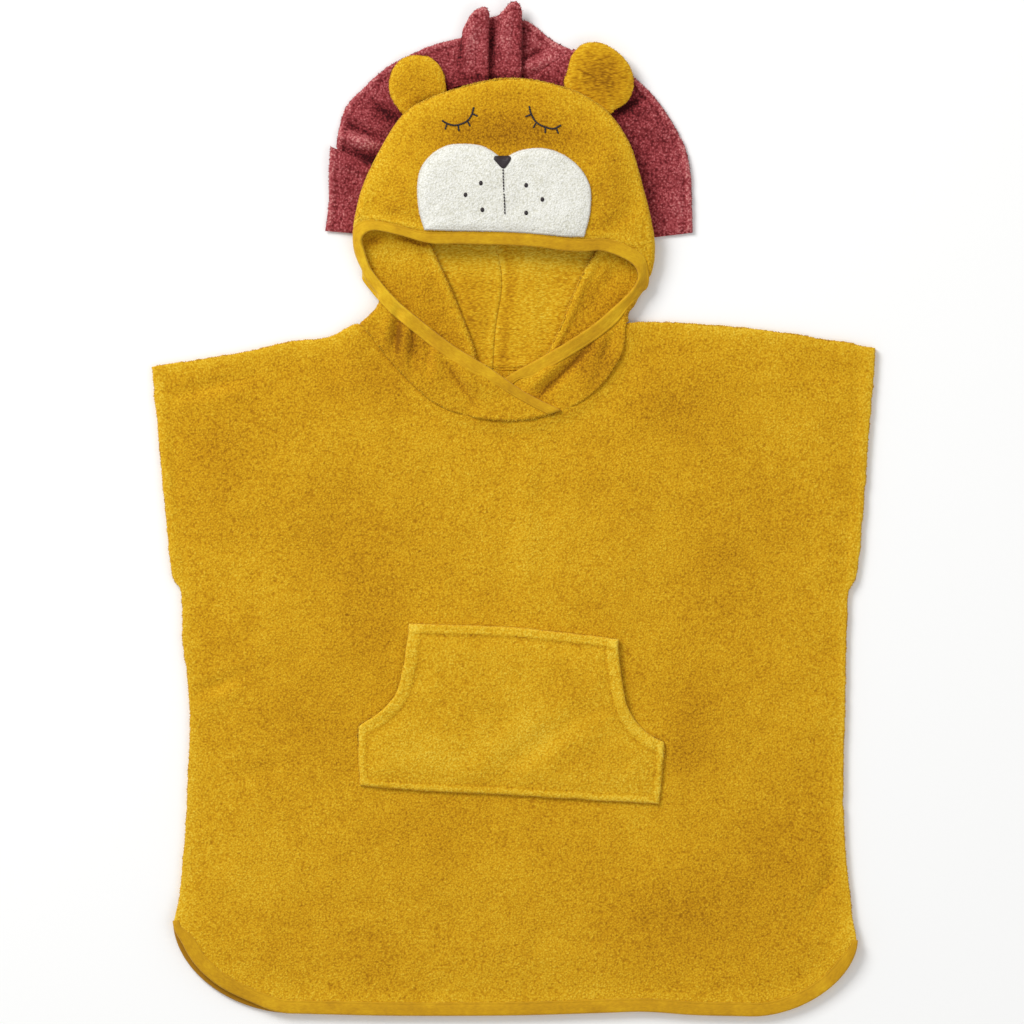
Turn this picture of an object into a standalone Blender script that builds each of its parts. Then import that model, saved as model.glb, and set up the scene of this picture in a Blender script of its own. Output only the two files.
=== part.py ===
"""Hooded bath poncho for a small child, in terry cloth, laid flat on its back.

The body is a front and a back panel. The hood is two back panels and one front piece that carries
an animal face and rolls under at its sides. Round ears and a pleated mane stand in the hood's seam.
Lengths are in millimetres: X to the garment's own left-right, Y from the hem up to the hood, and Z up
from the surface. They become metres as each mesh is made.
"""

import math

import bpy
import numpy as np
from mathutils import Vector
from mathutils.bvhtree import BVHTree

MM = 0.001
TERRY = 2.5
PRESSED = 1.4  # terry squeezed inside a binding
TAPE = 0.8
GAP = 0.3
EDGE_EASE = 0.6  # a cloth's top drops by this much at its edge
TAPE_COVER = 10.5  # how far a binding reaches in from its edge
TAPE_LIP = PRESSED / 2 + GAP + TAPE  # from the cloth's middle to the binding's outside
TAPE_WRAP = GAP + TAPE  # how far a binding stands out past the cloth
MANE_WALL = 3.6  # the mane is one cloth folded double
EAR_WALL = 4.6  # two cloths
EAR_EDGE = 0.25  # an ear's thickness at its edge, as a share
EAR_RINGS = (1.0, 0.9, 0.7, 0.35)

BACK_FLOOR = 0.0
FRONT_FLOOR = BACK_FLOOR + TERRY + GAP
FRONT_TOP = FRONT_FLOOR + TERRY
BACK_HEM_MID = TAPE_LIP
FRONT_HEM_MID = 3 * TAPE_LIP + GAP
HEM_RAMP = 10.0  # length over which a panel settles from its hem to its flat part

VENT_LEFT = (-292.4, 82.0)
VENT_RIGHT = (295.4, 65.3)
HEM_CORNER_LEFT = (-190.0, 2.5)
HEM_CORNER_RIGHT = (206.5, 0.0)
HEM_MIDDLE = ((-100.0, 0.6), (0.0, 0.9), (72.0, 2.9), (113.0, 4.0), (155.0, 1.2))
FRONT_CORNER_INSET = 4.5  # the front hem's left corner shows the back hem behind it
CORNER_INSET_RUN = 90.0

# The right side and sleeve going up, then the shoulder going in to the neck.
RIGHT_SIDE = (
    (291.0, 84.0),
    (288.1, 109.0),
    (284.5, 150.0),
    (283.0, 205.0),
    (285.0, 300.0),
    (286.0, 345.0),
    (288.0, 365.0),
    (295.8, 386.0),
    (302.5, 470.0),
)
RIGHT_SHOULDER = ((310.4, 573.6), (262.0, 582.0), (212.0, 589.0), (160.0, 594.0), (125.0, 596.0))
LEFT_SHOULDER = ((-166.0, 581.0), (-188.5, 580.0), (-223.0, 572.0), (-266.0, 564.0), (-310.4, 557.3))
LEFT_SIDE = (
    (-302.0, 470.0),
    (-294.0, 384.0),
    (-285.5, 364.0),
    (-283.8, 323.0),
    (-279.5, 288.0),
    (-277.8, 246.0),
    (-280.4, 182.0),
    (-283.0, 142.0),
    (-286.5, 104.0),
)
# Both necklines run from the garment's right neck point to its left one, as seen from above.
FRONT_NECK = (
    (98.3, 595.0),
    (95.5, 571.0),
    (81.0, 546.0),
    (61.0, 527.5),
    (37.0, 515.5),
    (5.0, 508.5),
    (-35.0, 510.5),
    (-71.0, 523.0),
    (-104.0, 552.0),
    (-126.0, 577.0),
    (-139.5, 592.5),
)
BACK_NECK = (
    (98.3, 595.0),
    (62.0, 569.0),
    (22.0, 557.5),
    (-15.0, 555.6),
    (-52.0, 558.5),
    (-98.0, 571.5),
    (-139.5, 592.5),
)

# The hood's front piece, a row for each section from the left neck end over the brow to the right
# one. The edge is the bound opening, the fold is the outline where the cloth rolls under, and the
# seam joins the back panels. Each z is the middle of the wall, and the fold's is the top of its roll.
HOOD_FRONT_COLUMNS = (
    *("edge_x", "edge_y", "edge_z"),
    *("fold_x", "fold_y", "fold_z"),
    *("seam_x", "seam_y", "seam_z"),
)
HOOD_FRONT_ROWS = (
    (40.0, 520.0, 4.6, -137.0, 594.5, 8.6, -31.0, 558.0, 4.2),
    (7.3, 539.3, 9.8, -128.0, 602.0, 9.5, -33.0, 571.0, 4.2),
    (-22.8, 556.5, 11.0, -120.0, 608.0, 10.0, -37.4, 584.0, 4.2),
    (-54.5, 576.2, 12.8, -116.0, 614.0, 10.5, -43.4, 599.4, 4.2),
    (-91.5, 605.4, 13.4, -116.0, 620.5, 11.0, -51.1, 618.3, 4.2),
    (-103.0, 616.0, 13.0, -117.0, 624.0, 11.0, -54.5, 626.0, 4.2),
    (-113.5, 628.0, 12.4, -121.0, 630.5, 11.0, -59.0, 636.0, 4.2),
    (-123.0, 641.0, 12.4, -129.5, 641.0, 11.0, -64.0, 647.0, 4.2),
    (-128.0, 655.0, 13.0, -135.0, 656.0, 12.0, -68.0, 657.0, 5.0),
    (-127.0, 668.0, 15.5, -137.0, 670.0, 14.0, -74.0, 666.0, 7.4),
    (-116.0, 673.0, 18.0, -135.5, 686.0, 16.0, -84.0, 680.0, 9.2),
    (-95.7, 669.8, 19.0, -129.2, 711.0, 16.6, -96.0, 704.0, 10.0),
    (-71.7, 663.8, 19.0, -115.5, 738.0, 16.8, -99.2, 735.0, 10.2),
    (-47.7, 663.4, 19.0, -91.5, 776.0, 16.6, -84.0, 768.0, 10.0),
    (-24.5, 662.9, 19.0, -52.8, 795.0, 17.0, -49.5, 787.5, 10.6),
    (-0.4, 662.1, 19.0, -7.3, 805.5, 17.0, -7.3, 798.0, 10.6),
    (23.6, 660.4, 19.0, 37.4, 799.5, 17.0, 34.0, 792.6, 10.6),
    (44.2, 657.4, 18.6, 74.3, 781.0, 16.6, 67.4, 773.0, 10.6),
    (60.5, 656.9, 18.2, 97.5, 749.7, 16.6, 83.7, 746.2, 10.0),
    (75.0, 657.5, 18.0, 109.5, 711.0, 16.4, 84.6, 704.2, 9.6),
    (91.0, 652.6, 17.5, 117.2, 680.0, 16.0, 80.0, 676.0, 9.0),
    (103.5, 645.0, 15.5, 119.6, 661.0, 14.0, 73.0, 660.0, 6.2),
    (107.5, 635.0, 14.0, 117.6, 641.0, 12.0, 65.0, 647.5, 4.4),
    (103.5, 625.0, 13.4, 110.5, 625.0, 11.2, 56.5, 632.0, 4.2),
    (91.5, 612.3, 12.8, 103.0, 612.0, 10.6, 49.4, 614.8, 4.2),
    (70.0, 593.4, 11.2, 98.0, 605.0, 10.2, 42.5, 597.0, 4.2),
    (46.8, 577.9, 9.8, 97.0, 601.0, 9.8, 36.5, 584.0, 4.2),
    (23.6, 564.2, 8.4, 97.0, 598.5, 9.4, 31.0, 573.0, 4.2),
    (-1.3, 548.7, 6.2, 97.3, 597.0, 9.0, 27.5, 565.0, 4.2),
    (-12.0, 514.0, 4.6, 97.8, 595.8, 8.6, 24.0, 558.5, 4.2),
)
TAPE_REACHES = (0.0, TAPE_COVER / 3, TAPE_COVER * 2 / 3, TAPE_COVER, TAPE_COVER + 1.5)
TOP_COLUMNS, ROLL_COLUMNS, UNDER_COLUMNS = 6, 5, 4
SECTION_STEPS = 48
BROW_PUFF = 5.0  # how far the brow stands above the straight line from its edge to its fold
PUFF_FROM, PUFF_RUN = 30.0, 80.0  # the section's length at which it starts to stand up, and the run to full
NECK_ROWS = 4  # the sections at each end that bend from straight to the neckline's curve
LAP_HEIGHT = 8.8  # the left end lies over the right one
LAP_START_X, LAP_RUN_X = -34.0, 16.0
LAP_END_Y, LAP_RUN_Y = 582.0, 30.0

# The hood's back: its height, its outer edges, and the centre seam between them.
HOOD_BACK_COLUMNS = ("y", "left_x", "seam_x", "right_x")
HOOD_BACK_ROWS = (
    (584.0, -54.0, -16.0, 47.0),
    (599.0, -56.0, -14.2, 54.0),
    (618.0, -62.0, -10.9, 60.0),
    (634.0, -69.0, -10.0, 67.0),
    (648.0, -75.0, -12.0, 74.0),
    (662.0, -79.0, -15.0, 76.0),
    (680.0, -80.0, -15.0, 76.0),
    (704.0, -91.0, -12.5, 80.0),
    (735.0, -94.0, -10.5, 79.0),
    (765.0, -80.0, -9.5, 67.0),
    (785.0, -48.0, -9.0, 38.0),
)
HOOD_BACK_TOP = 795.0
HOOD_BACK_FOOT = {"left": (-50.0, 4), "right": (38.0, 5)}  # the neck seam's outer x, and its points
BACK_SEAM_FOOT_X = -17.6

# The mane in the stretches that show, each laid over the one before. A row is one rib: x, y and the
# middle's height where it meets the hood's seam, then the same at the folded outer edge.
MANE_RIB_POINTS = 5
MANE_STRETCHES = {
    "mane_flap": (
        (-97.0, 668.5, 2.0, -161.5, 674.0, 1.9),
        (-98.0, 688.0, 2.0, -158.6, 698.0, 1.9),
        (-99.5, 707.0, 4.8, -158.4, 722.0, 4.6),
        (-102.0, 723.0, 6.2, -157.2, 746.5, 7.4),
    ),
    "mane_left": (
        (-101.0, 716.0, 1.9, -150.0, 737.0, 1.9),
        (-101.5, 730.0, 1.9, -151.8, 748.5, 1.9),
        (-99.0, 750.0, 1.9, -148.6, 766.0, 2.4),
        (-92.0, 766.0, 1.9, -143.5, 781.0, 1.9),
        (-81.0, 778.0, 1.9, -128.4, 797.0, 1.9),
        (-66.0, 786.5, 1.9, -107.8, 815.0, 1.9),
        (-52.0, 793.0, 1.9, -84.6, 827.0, 1.9),
        (-40.0, 797.0, 1.9, -64.0, 835.0, 1.9),
        (-31.0, 799.0, 1.9, -40.0, 840.5, 1.9),
    ),
    "mane_pleat_left": (
        (-53.0, 797.0, 5.8, -42.6, 846.0, 5.8),
        (-42.0, 799.0, 6.4, -35.0, 861.0, 9.0),
        (-31.0, 800.0, 6.8, -24.5, 865.6, 11.5),
        (-21.0, 800.0, 6.6, -20.8, 860.0, 9.5),
    ),
    "mane_pleat_right": (
        (-28.0, 801.0, 1.9, -22.0, 845.0, 1.9),
        (-17.0, 801.0, 1.9, -14.0, 858.5, 2.2),
        (-12.0, 801.0, 4.2, -8.0, 863.5, 7.0),
        (-5.0, 801.0, 6.4, -2.0, 870.0, 11.0),
        (2.0, 801.0, 6.6, 3.8, 869.6, 11.5),
        (7.0, 801.0, 6.2, 7.0, 862.0, 9.0),
    ),
    "mane_crown": (
        (0.0, 800.5, 1.9, 2.0, 850.0, 1.9),
        (10.0, 800.5, 1.9, 8.6, 855.0, 1.9),
        (20.0, 799.5, 1.9, 19.3, 849.0, 1.9),
        (32.0, 796.5, 1.9, 31.5, 839.0, 1.9),
        (45.0, 791.5, 1.9, 45.0, 831.5, 1.9),
        (57.0, 785.0, 1.9, 62.0, 824.0, 1.9),
    ),
    "mane_right": (
        (9.5, 802.0, 5.8, 51.5, 829.6, 6.0),
        (26.0, 799.5, 5.8, 66.0, 827.0, 5.8),
        (46.0, 792.0, 5.8, 84.0, 819.0, 5.8),
        (66.0, 780.5, 5.8, 102.6, 806.5, 4.8),
        (78.0, 768.0, 3.6, 118.0, 792.0, 2.6),
        (85.0, 754.0, 1.9, 129.5, 777.5, 1.9),
        (87.5, 740.0, 1.9, 140.2, 760.0, 1.9),
        (87.5, 722.0, 1.9, 148.4, 741.5, 1.9),
        (87.0, 704.0, 1.9, 152.2, 720.0, 1.9),
        (86.0, 690.0, 1.9, 153.0, 698.0, 1.9),
        (84.0, 664.0, 1.9, 153.6, 672.5, 1.9),
    ),
}

# Each ear is a disc cut off along the hood's seam: its centre, radius, the seam's distance and
# direction from the centre, and the height of its underside.
EARS = {
    "ear_left": {"x": -83.2, "y": 800.6, "radius": 24.0, "seam": 15.6, "toward": -60.0, "floor": 4.3},
    "ear_right": {"x": 75.2, "y": 806.0, "radius": 28.0, "seam": 18.8, "toward": -123.0, "floor": 8.2},
}

POCKET = (
    (-131.8, 198.4),
    (-80.0, 194.0),
    (-15.0, 190.6),
    (60.0, 186.0),
    (124.9, 182.4),
    (127.5, 208.0),
    (129.0, 235.0),
    (113.6, 244.1),
    (100.0, 261.4),
    (93.5, 284.4),
    (90.3, 317.0),
    (90.3, 323.6),
    (40.0, 330.0),
    (-3.3, 334.2),
    (-50.0, 336.0),
    (-89.7, 337.1),
    (-91.0, 325.0),
    (-94.4, 299.7),
    (-101.1, 276.8),
    (-114.6, 261.4),
    (-133.5, 249.0),
    (-132.7, 225.0),
)
POCKET_HEM = 9.0
POCKET_HEM_EXTRA = 0.8  # the pocket's edges are turned in, so they are thicker

MUZZLE = (
    (-76.0, 676.2),
    (-80.5, 692.0),
    (-82.0, 712.0),
    (-79.0, 728.0),
    (-70.0, 740.0),
    (-57.0, 747.5),
    (-42.0, 749.0),
    (-28.0, 747.5),
    (-18.0, 742.5),
    (-9.0, 736.5),
    (0.0, 741.0),
    (11.0, 744.5),
    (27.0, 745.0),
    (43.0, 739.5),
    (56.0, 729.0),
    (64.0, 716.0),
    (66.0, 704.0),
    (64.5, 687.0),
    (60.0, 670.2),
    (44.0, 670.6),
    (20.0, 672.8),
    (0.0, 674.2),
    (-25.0, 675.0),
    (-50.0, 675.4),
)
MUZZLE_MIDDLE = (-9.0, 706.0)
MUZZLE_WALL = 1.6
NOSE = ((-17.5, 738.0), (-14.0, 731.5), (-9.0, 727.0), (-4.0, 731.5), (-0.5, 738.0), (-9.0, 740.0))
NOSE_MIDDLE = (-9.0, 735.5)
NOSE_WALL = 0.9
APPLIED_GAP = 0.5  # what is sewn on a curved panel clears its facets by this much
APPLIED_EDGE = 0.6  # its thickness at its edge, as a share
APPLIED_RINGS = (1.0, 0.94, 0.75, 0.5, 0.25)

FINISHES = {
    "terry_mustard": {"colour": (0.62, 0.31, 0.014), "roughness": 0.95},
    "tape_mustard": {"colour": (0.60, 0.31, 0.012), "roughness": 0.8},
    "terry_red": {"colour": (0.26, 0.045, 0.045), "roughness": 0.95},
    "terry_white": {"colour": (0.82, 0.81, 0.75), "roughness": 0.95},
    "thread_black": {"colour": (0.02, 0.015, 0.017), "roughness": 0.6},
}


def clear_scene():
    for item in list(bpy.data.objects):
        bpy.data.objects.remove(item, do_unlink=True)


def finish(name):
    """A named cloth's material, made once."""
    found = bpy.data.materials.get(name)
    if found:
        return found
    material = bpy.data.materials.new(name)
    material.use_nodes = True
    shader = material.node_tree.nodes["Principled BSDF"]
    shader.inputs["Base Color"].default_value = (*FINISHES[name]["colour"], 1.0)
    shader.inputs["Roughness"].default_value = FINISHES[name]["roughness"]
    shader.inputs["Metallic"].default_value = 0.0
    return material


def make_piece(name, points, faces, cloth):
    """One closed piece from points in millimetres."""
    mesh = bpy.data.meshes.new(name)
    mesh.from_pydata((np.asarray(points) * MM).tolist(), [], faces)
    mesh.materials.append(finish(cloth))
    mesh.shade_smooth()
    mesh.set_sharp_from_angle(angle=math.radians(40))
    piece = bpy.data.objects.new(name, mesh)
    bpy.context.collection.objects.link(piece)
    return piece


def smooth_step(value):
    """0 below 0, 1 above 1, and a soft rise between."""
    value = np.clip(value, 0.0, 1.0)
    return value * value * (3.0 - 2.0 * value)


def through(points, per_span, closed=False):
    """A smooth curve through the points, as a Catmull-Rom spline with per_span steps to a span."""
    points = np.asarray(points, float)
    if closed:
        padded = np.vstack([points[-1:], points, points[:2]])
    else:
        padded = np.vstack([2 * points[0] - points[1], points, 2 * points[-1] - points[-2]])
    curve = []
    for first in range(len(padded) - 3):
        before, start, end, after = padded[first : first + 4]
        for step in range(per_span):
            t = step / per_span
            curve.append(
                start
                + 0.5 * t * (end - before)
                + t * t * (before - 2.5 * start + 2 * end - 0.5 * after)
                + t**3 * (1.5 * (start - end) + 0.5 * (after - before))
            )
    if not closed:
        curve.append(points[-1])
    return np.array(curve)


def along(curve, fractions):
    """Points at fractions of a curve's length."""
    steps = np.linalg.norm(np.diff(curve, axis=0), axis=1)
    reached = np.concatenate([[0.0], np.cumsum(steps)])
    wanted = np.asarray(fractions) * reached[-1]
    return np.stack([np.interp(wanted, reached, curve[:, k]) for k in range(curve.shape[1])], axis=1)


def rounded_corner(side, foot, power, steps):
    """A quarter superellipse that leaves side upright and reaches foot level, without its last point."""
    angles = np.linspace(0.0, math.pi / 2, steps, endpoint=False)
    across = 1.0 - np.cos(angles) ** (2.0 / power)
    down = np.sin(angles) ** (2.0 / power)
    return np.stack([side[0] + (foot[0] - side[0]) * across, side[1] + (foot[1] - side[1]) * down], axis=1)


def hem_line():
    """The hem from the left vent to the right one."""
    left = rounded_corner(VENT_LEFT, HEM_CORNER_LEFT, 1.9, 9)
    right = rounded_corner(VENT_RIGHT, HEM_CORNER_RIGHT, 1.8, 8)[::-1]
    middle = through((HEM_CORNER_LEFT, *HEM_MIDDLE, HEM_CORNER_RIGHT), 2)
    return np.vstack([left, middle, right])


def inward(line, closed):
    """Unit-distance steps to the left of a line's direction, mitred at its corners."""
    if closed:
        ahead = np.roll(line, -1, axis=0) - line
        behind = line - np.roll(line, 1, axis=0)
    else:
        spans = np.diff(line, axis=0)
        ahead = np.vstack([spans, spans[-1]])
        behind = np.vstack([spans[0], spans])
    sides = []
    for span in (ahead, behind):
        unit = span / np.linalg.norm(span, axis=1)[:, None]
        sides.append(np.stack([-unit[:, 1], unit[:, 0]], axis=1))
    return (sides[0] + sides[1]) / (1.0 + (sides[0] * sides[1]).sum(axis=1))[:, None]


def anticlockwise(outline):
    """The outline in anticlockwise order, seen from above."""
    outline = np.asarray(outline, float)
    ahead = np.roll(outline, -1, axis=0)
    doubled_area = (outline[:, 0] * ahead[:, 1] - ahead[:, 0] * outline[:, 1]).sum()
    return outline if doubled_area > 0 else outline[::-1]


def body_outline(neck, corner_inset):
    """A body panel's cloth edge, anticlockwise from the left vent, and how many points are hem."""
    hem = hem_line()
    travelled = np.clip((hem[:, 0] - VENT_LEFT[0]) / CORNER_INSET_RUN, 0.0, 1.0)
    inset = TAPE_WRAP + corner_inset * np.sin(math.pi * travelled)
    hem = hem + inward(hem, closed=False) * inset[:, None]
    rest = (*RIGHT_SIDE, *RIGHT_SHOULDER, *through(neck, 2), *LEFT_SHOULDER, *LEFT_SIDE)
    return np.vstack([hem, np.array(rest)]), len(hem)


def ring_panel(name, outline, rings, cloth):
    """A panel as rings stepped in from its outline. Each ring is its inset, underside and top."""
    points, faces = [], []
    outline = anticlockwise(outline)
    count = len(outline)
    steps = inward(outline, closed=True)
    for side in (2, 1):
        for ring in rings:
            plan = outline + steps * ring[0]
            height = np.broadcast_to(ring[side], count)
            points.extend(np.column_stack([plan, height]))
    under = len(rings) * count
    for level in range(len(rings) - 1):
        for i in range(count):
            j = (i + 1) % count
            here, there = level * count, (level + 1) * count
            faces.append((here + i, here + j, there + j, there + i))
            faces.append((under + here + j, under + here + i, under + there + i, under + there + j))
    for i in range(count):
        j = (i + 1) % count
        faces.append((i, under + i, under + j, j))
    last = (len(rings) - 1) * count
    faces.append(tuple(last + i for i in range(count)))
    faces.append(tuple(under + last + i for i in reversed(range(count))))
    return make_piece(name, points, faces, cloth)


def round_panel(name, outline, middle, rings, lowest, highest, cloth):
    """A panel as rings drawn in towards its middle, with lowest and highest giving z from x, y, ring."""
    outline, middle = anticlockwise(outline), np.asarray(middle, float)
    count = len(outline)
    points, faces = [], []
    for height in (highest, lowest):
        for share in rings:
            for x, y in middle + (outline - middle) * share:
                points.append((x, y, height(x, y, share)))
        points.append((*middle, height(*middle, 0.0)))
    under = len(rings) * count + 1
    for level in range(len(rings) - 1):
        for i in range(count):
            j = (i + 1) % count
            here, there = level * count, (level + 1) * count
            faces.append((here + i, here + j, there + j, there + i))
            faces.append((under + here + j, under + here + i, under + there + i, under + there + j))
    last, pole = (len(rings) - 1) * count, len(rings) * count
    for i in range(count):
        j = (i + 1) % count
        faces.append((i, under + i, under + j, j))
        faces.append((last + i, last + j, pole))
        faces.append((under + last + j, under + last + i, under + pole))
    return make_piece(name, points, faces, cloth)


def grid_normals(grid):
    """The unit normal at each point of a grid, as the mean of the cells around it."""
    cells = np.cross(grid[1:, 1:] - grid[:-1, :-1], grid[:-1, 1:] - grid[1:, :-1])
    cells /= np.linalg.norm(cells, axis=2)[:, :, None]
    normal = np.zeros_like(grid)
    for rows in (slice(1, None), slice(None, -1)):
        for columns in (slice(1, None), slice(None, -1)):
            normal[rows, columns] += cells
    return normal / np.linalg.norm(normal, axis=2)[:, :, None]


def wall(name, grid, thickness, cloth):
    """A closed wall of the given thickness about a grid of its middle points."""
    rows, columns = grid.shape[:2]
    offset = grid_normals(grid) * (np.broadcast_to(thickness, (rows, columns))[:, :, None] / 2)
    points = np.vstack([(grid + offset).reshape(-1, 3), (grid - offset).reshape(-1, 3)])
    under = rows * columns
    faces = []
    for i in range(rows - 1):
        for j in range(columns - 1):
            a, b = i * columns + j, (i + 1) * columns + j
            faces.append((a, b, b + 1, a + 1))
            faces.append((under + a + 1, under + b + 1, under + b, under + a))
    rim = [j for j in range(columns)]
    rim += [i * columns + columns - 1 for i in range(1, rows)]
    rim += [(rows - 1) * columns + j for j in range(columns - 2, -1, -1)]
    rim += [i * columns for i in range(rows - 2, 0, -1)]
    for a, b in zip(rim, rim[1:] + rim[:1]):
        faces.append((a, b, under + b, under + a))
    return make_piece(name, points, faces, cloth)


def tube(name, sections, cloth):
    """A closed profile carried from section to section, with a cap at each end."""
    count, around = sections.shape[:2]
    faces = []
    for i in range(count - 1):
        for j in range(around):
            k = (j + 1) % around
            faces.append((i * around + j, i * around + k, (i + 1) * around + k, (i + 1) * around + j))
    faces.append(tuple(reversed(range(around))))
    faces.append(tuple((count - 1) * around + j for j in range(around)))
    return make_piece(name, sections.reshape(-1, 3), faces, cloth)


def tape_profile(steps):
    """A binding's C-shaped section: the distance in from the cloth's edge, and the height from its middle.
    Steps is how many pieces each lip takes, so that it can bend with the cloth."""
    inside = PRESSED / 2 + GAP
    reaches = [TAPE_COVER * k / steps for k in range(steps + 1)]
    outer_top = [(reach, TAPE_LIP) for reach in reversed(reaches)]
    outer_under = [(reach, -TAPE_LIP) for reach in reaches]
    inner_under = [(reach, -inside) for reach in reversed(reaches[1:])] + [(-GAP, -inside)]
    inner_top = [(-GAP, inside)] + [(reach, inside) for reach in reaches[1:]]
    return outer_top + [(-TAPE_WRAP, 0.0)] + outer_under + inner_under + inner_top


def make_body_panel(name, neck, corner_inset, floor, hem_mid):
    """A body panel: flat, pressed thin inside its hem binding, and lifted there to the binding's height."""
    outline, hem_points = body_outline(neck, corner_inset)
    is_hem = np.arange(len(outline)) < hem_points
    low = np.where(is_hem, hem_mid - PRESSED / 2, floor)
    high = np.where(is_hem, hem_mid + PRESSED / 2, floor + TERRY)
    settled = TAPE_COVER + 1.0 + HEM_RAMP
    rings = ((0.0, low, high), (TAPE_COVER + 1.0, low, high), (settled, floor, floor + TERRY))
    return ring_panel(name, outline, rings, "terry_mustard")


def make_hem_binding(name, neck, corner_inset, hem_mid):
    """The tape folded over one panel's hem, from vent to vent."""
    outline, hem_points = body_outline(neck, corner_inset)
    hem = outline[:hem_points]
    steps = inward(hem, closed=False)
    sections = []
    for place, step in zip(hem, steps):
        sections.append([(*(place + step * reach), hem_mid + height) for reach, height in tape_profile(1)])
    return tube(name, np.array(sections), "tape_mustard")


def make_pocket():
    """The kangaroo pocket, on the front panel's flat top, with thicker turned edges."""
    floor = FRONT_TOP + GAP
    top, hem_top = floor + TERRY, floor + TERRY + POCKET_HEM_EXTRA
    rings = (
        (0.0, floor, hem_top - EDGE_EASE),
        (1.2, floor, hem_top),
        (POCKET_HEM, floor, hem_top),
        (POCKET_HEM + 1.5, floor, top),
    )
    return ring_panel("pocket", np.array(POCKET), rings, "terry_mustard")


def hood_front_rows(per_span):
    """The hood front's table, smoothed between its rows, as one named array for each column."""
    rows = through(HOOD_FRONT_ROWS, per_span)
    return dict(zip(HOOD_FRONT_COLUMNS, rows.T))


def bent(start, end, shares, curve, weight):
    """A straight run from start to end, bent by weight towards the curve between their nearest points."""
    straight = start + (end - start) * shares[:, None]
    follow = along(curve, shares)
    chord = follow[0] + (follow[-1] - follow[0]) * shares[:, None]
    return straight + weight * (follow - chord)


def part_of(curve, start, end):
    """The stretch of a curve between the points nearest to start and end, in that direction."""
    first = int(np.argmin(np.linalg.norm(curve - start, axis=1)))
    last = int(np.argmin(np.linalg.norm(curve - end, axis=1)))
    return curve[first : last + 1] if first < last else curve[last : first + 1][::-1]


def hood_front_sections(per_span):
    """The hood front's middle surface as one finely stepped line for each section, from the edge over
    the top, round the roll and under to the seam, with how far along the roll starts and ends."""
    rows = hood_front_rows(per_span)
    count = len(rows["edge_x"])
    fold_line = np.stack([rows["fold_x"], rows["fold_y"]], axis=1)
    outward = inward(fold_line, closed=False)
    outward /= np.linalg.norm(outward, axis=1)[:, None]
    front_neck, back_neck = through(FRONT_NECK, 12), through(BACK_NECK, 12)
    neck_span = NECK_ROWS * per_span
    shares = np.linspace(0.0, 1.0, SECTION_STEPS)
    angles = np.linspace(math.pi / 2, -math.pi / 2, SECTION_STEPS // 3)[1:-1]
    sections = []
    for i in range(count):
        edge = np.array([rows["edge_x"][i], rows["edge_y"][i]])
        seam = np.array([rows["seam_x"][i], rows["seam_y"][i]])
        radius = (rows["fold_z"][i] - rows["seam_z"][i]) / 2
        middle_z = (rows["fold_z"][i] + rows["seam_z"][i]) / 2
        turn = fold_line[i] - outward[i] * radius
        from_end = min(i, count - 1 - i)
        weight = float((1.0 - smooth_step(from_end / neck_span)) ** 1.5)

        plan = bent(edge, turn, shares, part_of(front_neck, edge, turn), weight)
        length = np.linalg.norm(turn - edge)
        puff = BROW_PUFF * smooth_step((length - PUFF_FROM) / PUFF_RUN)
        puff = puff * smooth_step(from_end / neck_span - 1.0)
        height = rows["edge_z"][i] + (rows["fold_z"][i] - rows["edge_z"][i]) * smooth_step(shares)
        height = height + puff * np.sin(math.pi * shares) ** 0.8
        if i < count // 2:
            lap = smooth_step((plan[:, 0] - LAP_START_X) / LAP_RUN_X)
            lap = lap * smooth_step((LAP_END_Y - plan[:, 1]) / LAP_RUN_Y)
            height = np.maximum(height, LAP_HEIGHT * lap)
        top = np.column_stack([plan, height])

        reach = np.cos(angles)[:, None] * radius
        roll = np.column_stack([turn + outward[i] * reach, middle_z + np.sin(angles) * radius])

        plan = bent(turn, seam, shares, part_of(back_neck, turn, seam), weight)
        under = np.column_stack([plan, np.full(SECTION_STEPS, rows["seam_z"][i])])
        line = np.vstack([top, roll, under])
        reached = line_lengths(line)
        sections.append((line, reached, reached[len(top) - 1], reached[len(top) + len(roll)]))
    return sections


def line_lengths(line):
    """How far each point of a line lies from its first one, along the line."""
    return np.concatenate([[0.0], np.cumsum(np.linalg.norm(np.diff(line, axis=0), axis=1))])


def hood_front_grid(per_span):
    """The hood front's middle surface as a grid, and how far each column lies from the edge. Its first
    columns keep the binding's own distances, and the rest gather where the cloth rolls."""
    grid, reaches = [], []
    for line, reached, roll_start, roll_end in hood_front_sections(per_span):
        start = max(roll_start, TAPE_REACHES[-1] + 2.0)
        end = max(roll_end, start + 2.0)
        reach = np.concatenate(
            [
                TAPE_REACHES,
                np.linspace(TAPE_REACHES[-1], start, TOP_COLUMNS + 1)[1:],
                np.linspace(start, end, ROLL_COLUMNS + 1)[1:],
                np.linspace(end, reached[-1], UNDER_COLUMNS + 1)[1:],
            ]
        )
        grid.append(np.stack([np.interp(reach, reached, line[:, k]) for k in range(3)], axis=1))
        reaches.append(reach)
    return np.array(grid), np.array(reaches)


def make_hood_front():
    grid, reaches = hood_front_grid(per_span=1)
    thickness = PRESSED + (TERRY - PRESSED) * smooth_step((reaches - TAPE_REACHES[-1]) / 5.0)
    return wall("hood_front", grid, thickness, "terry_mustard")


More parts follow.
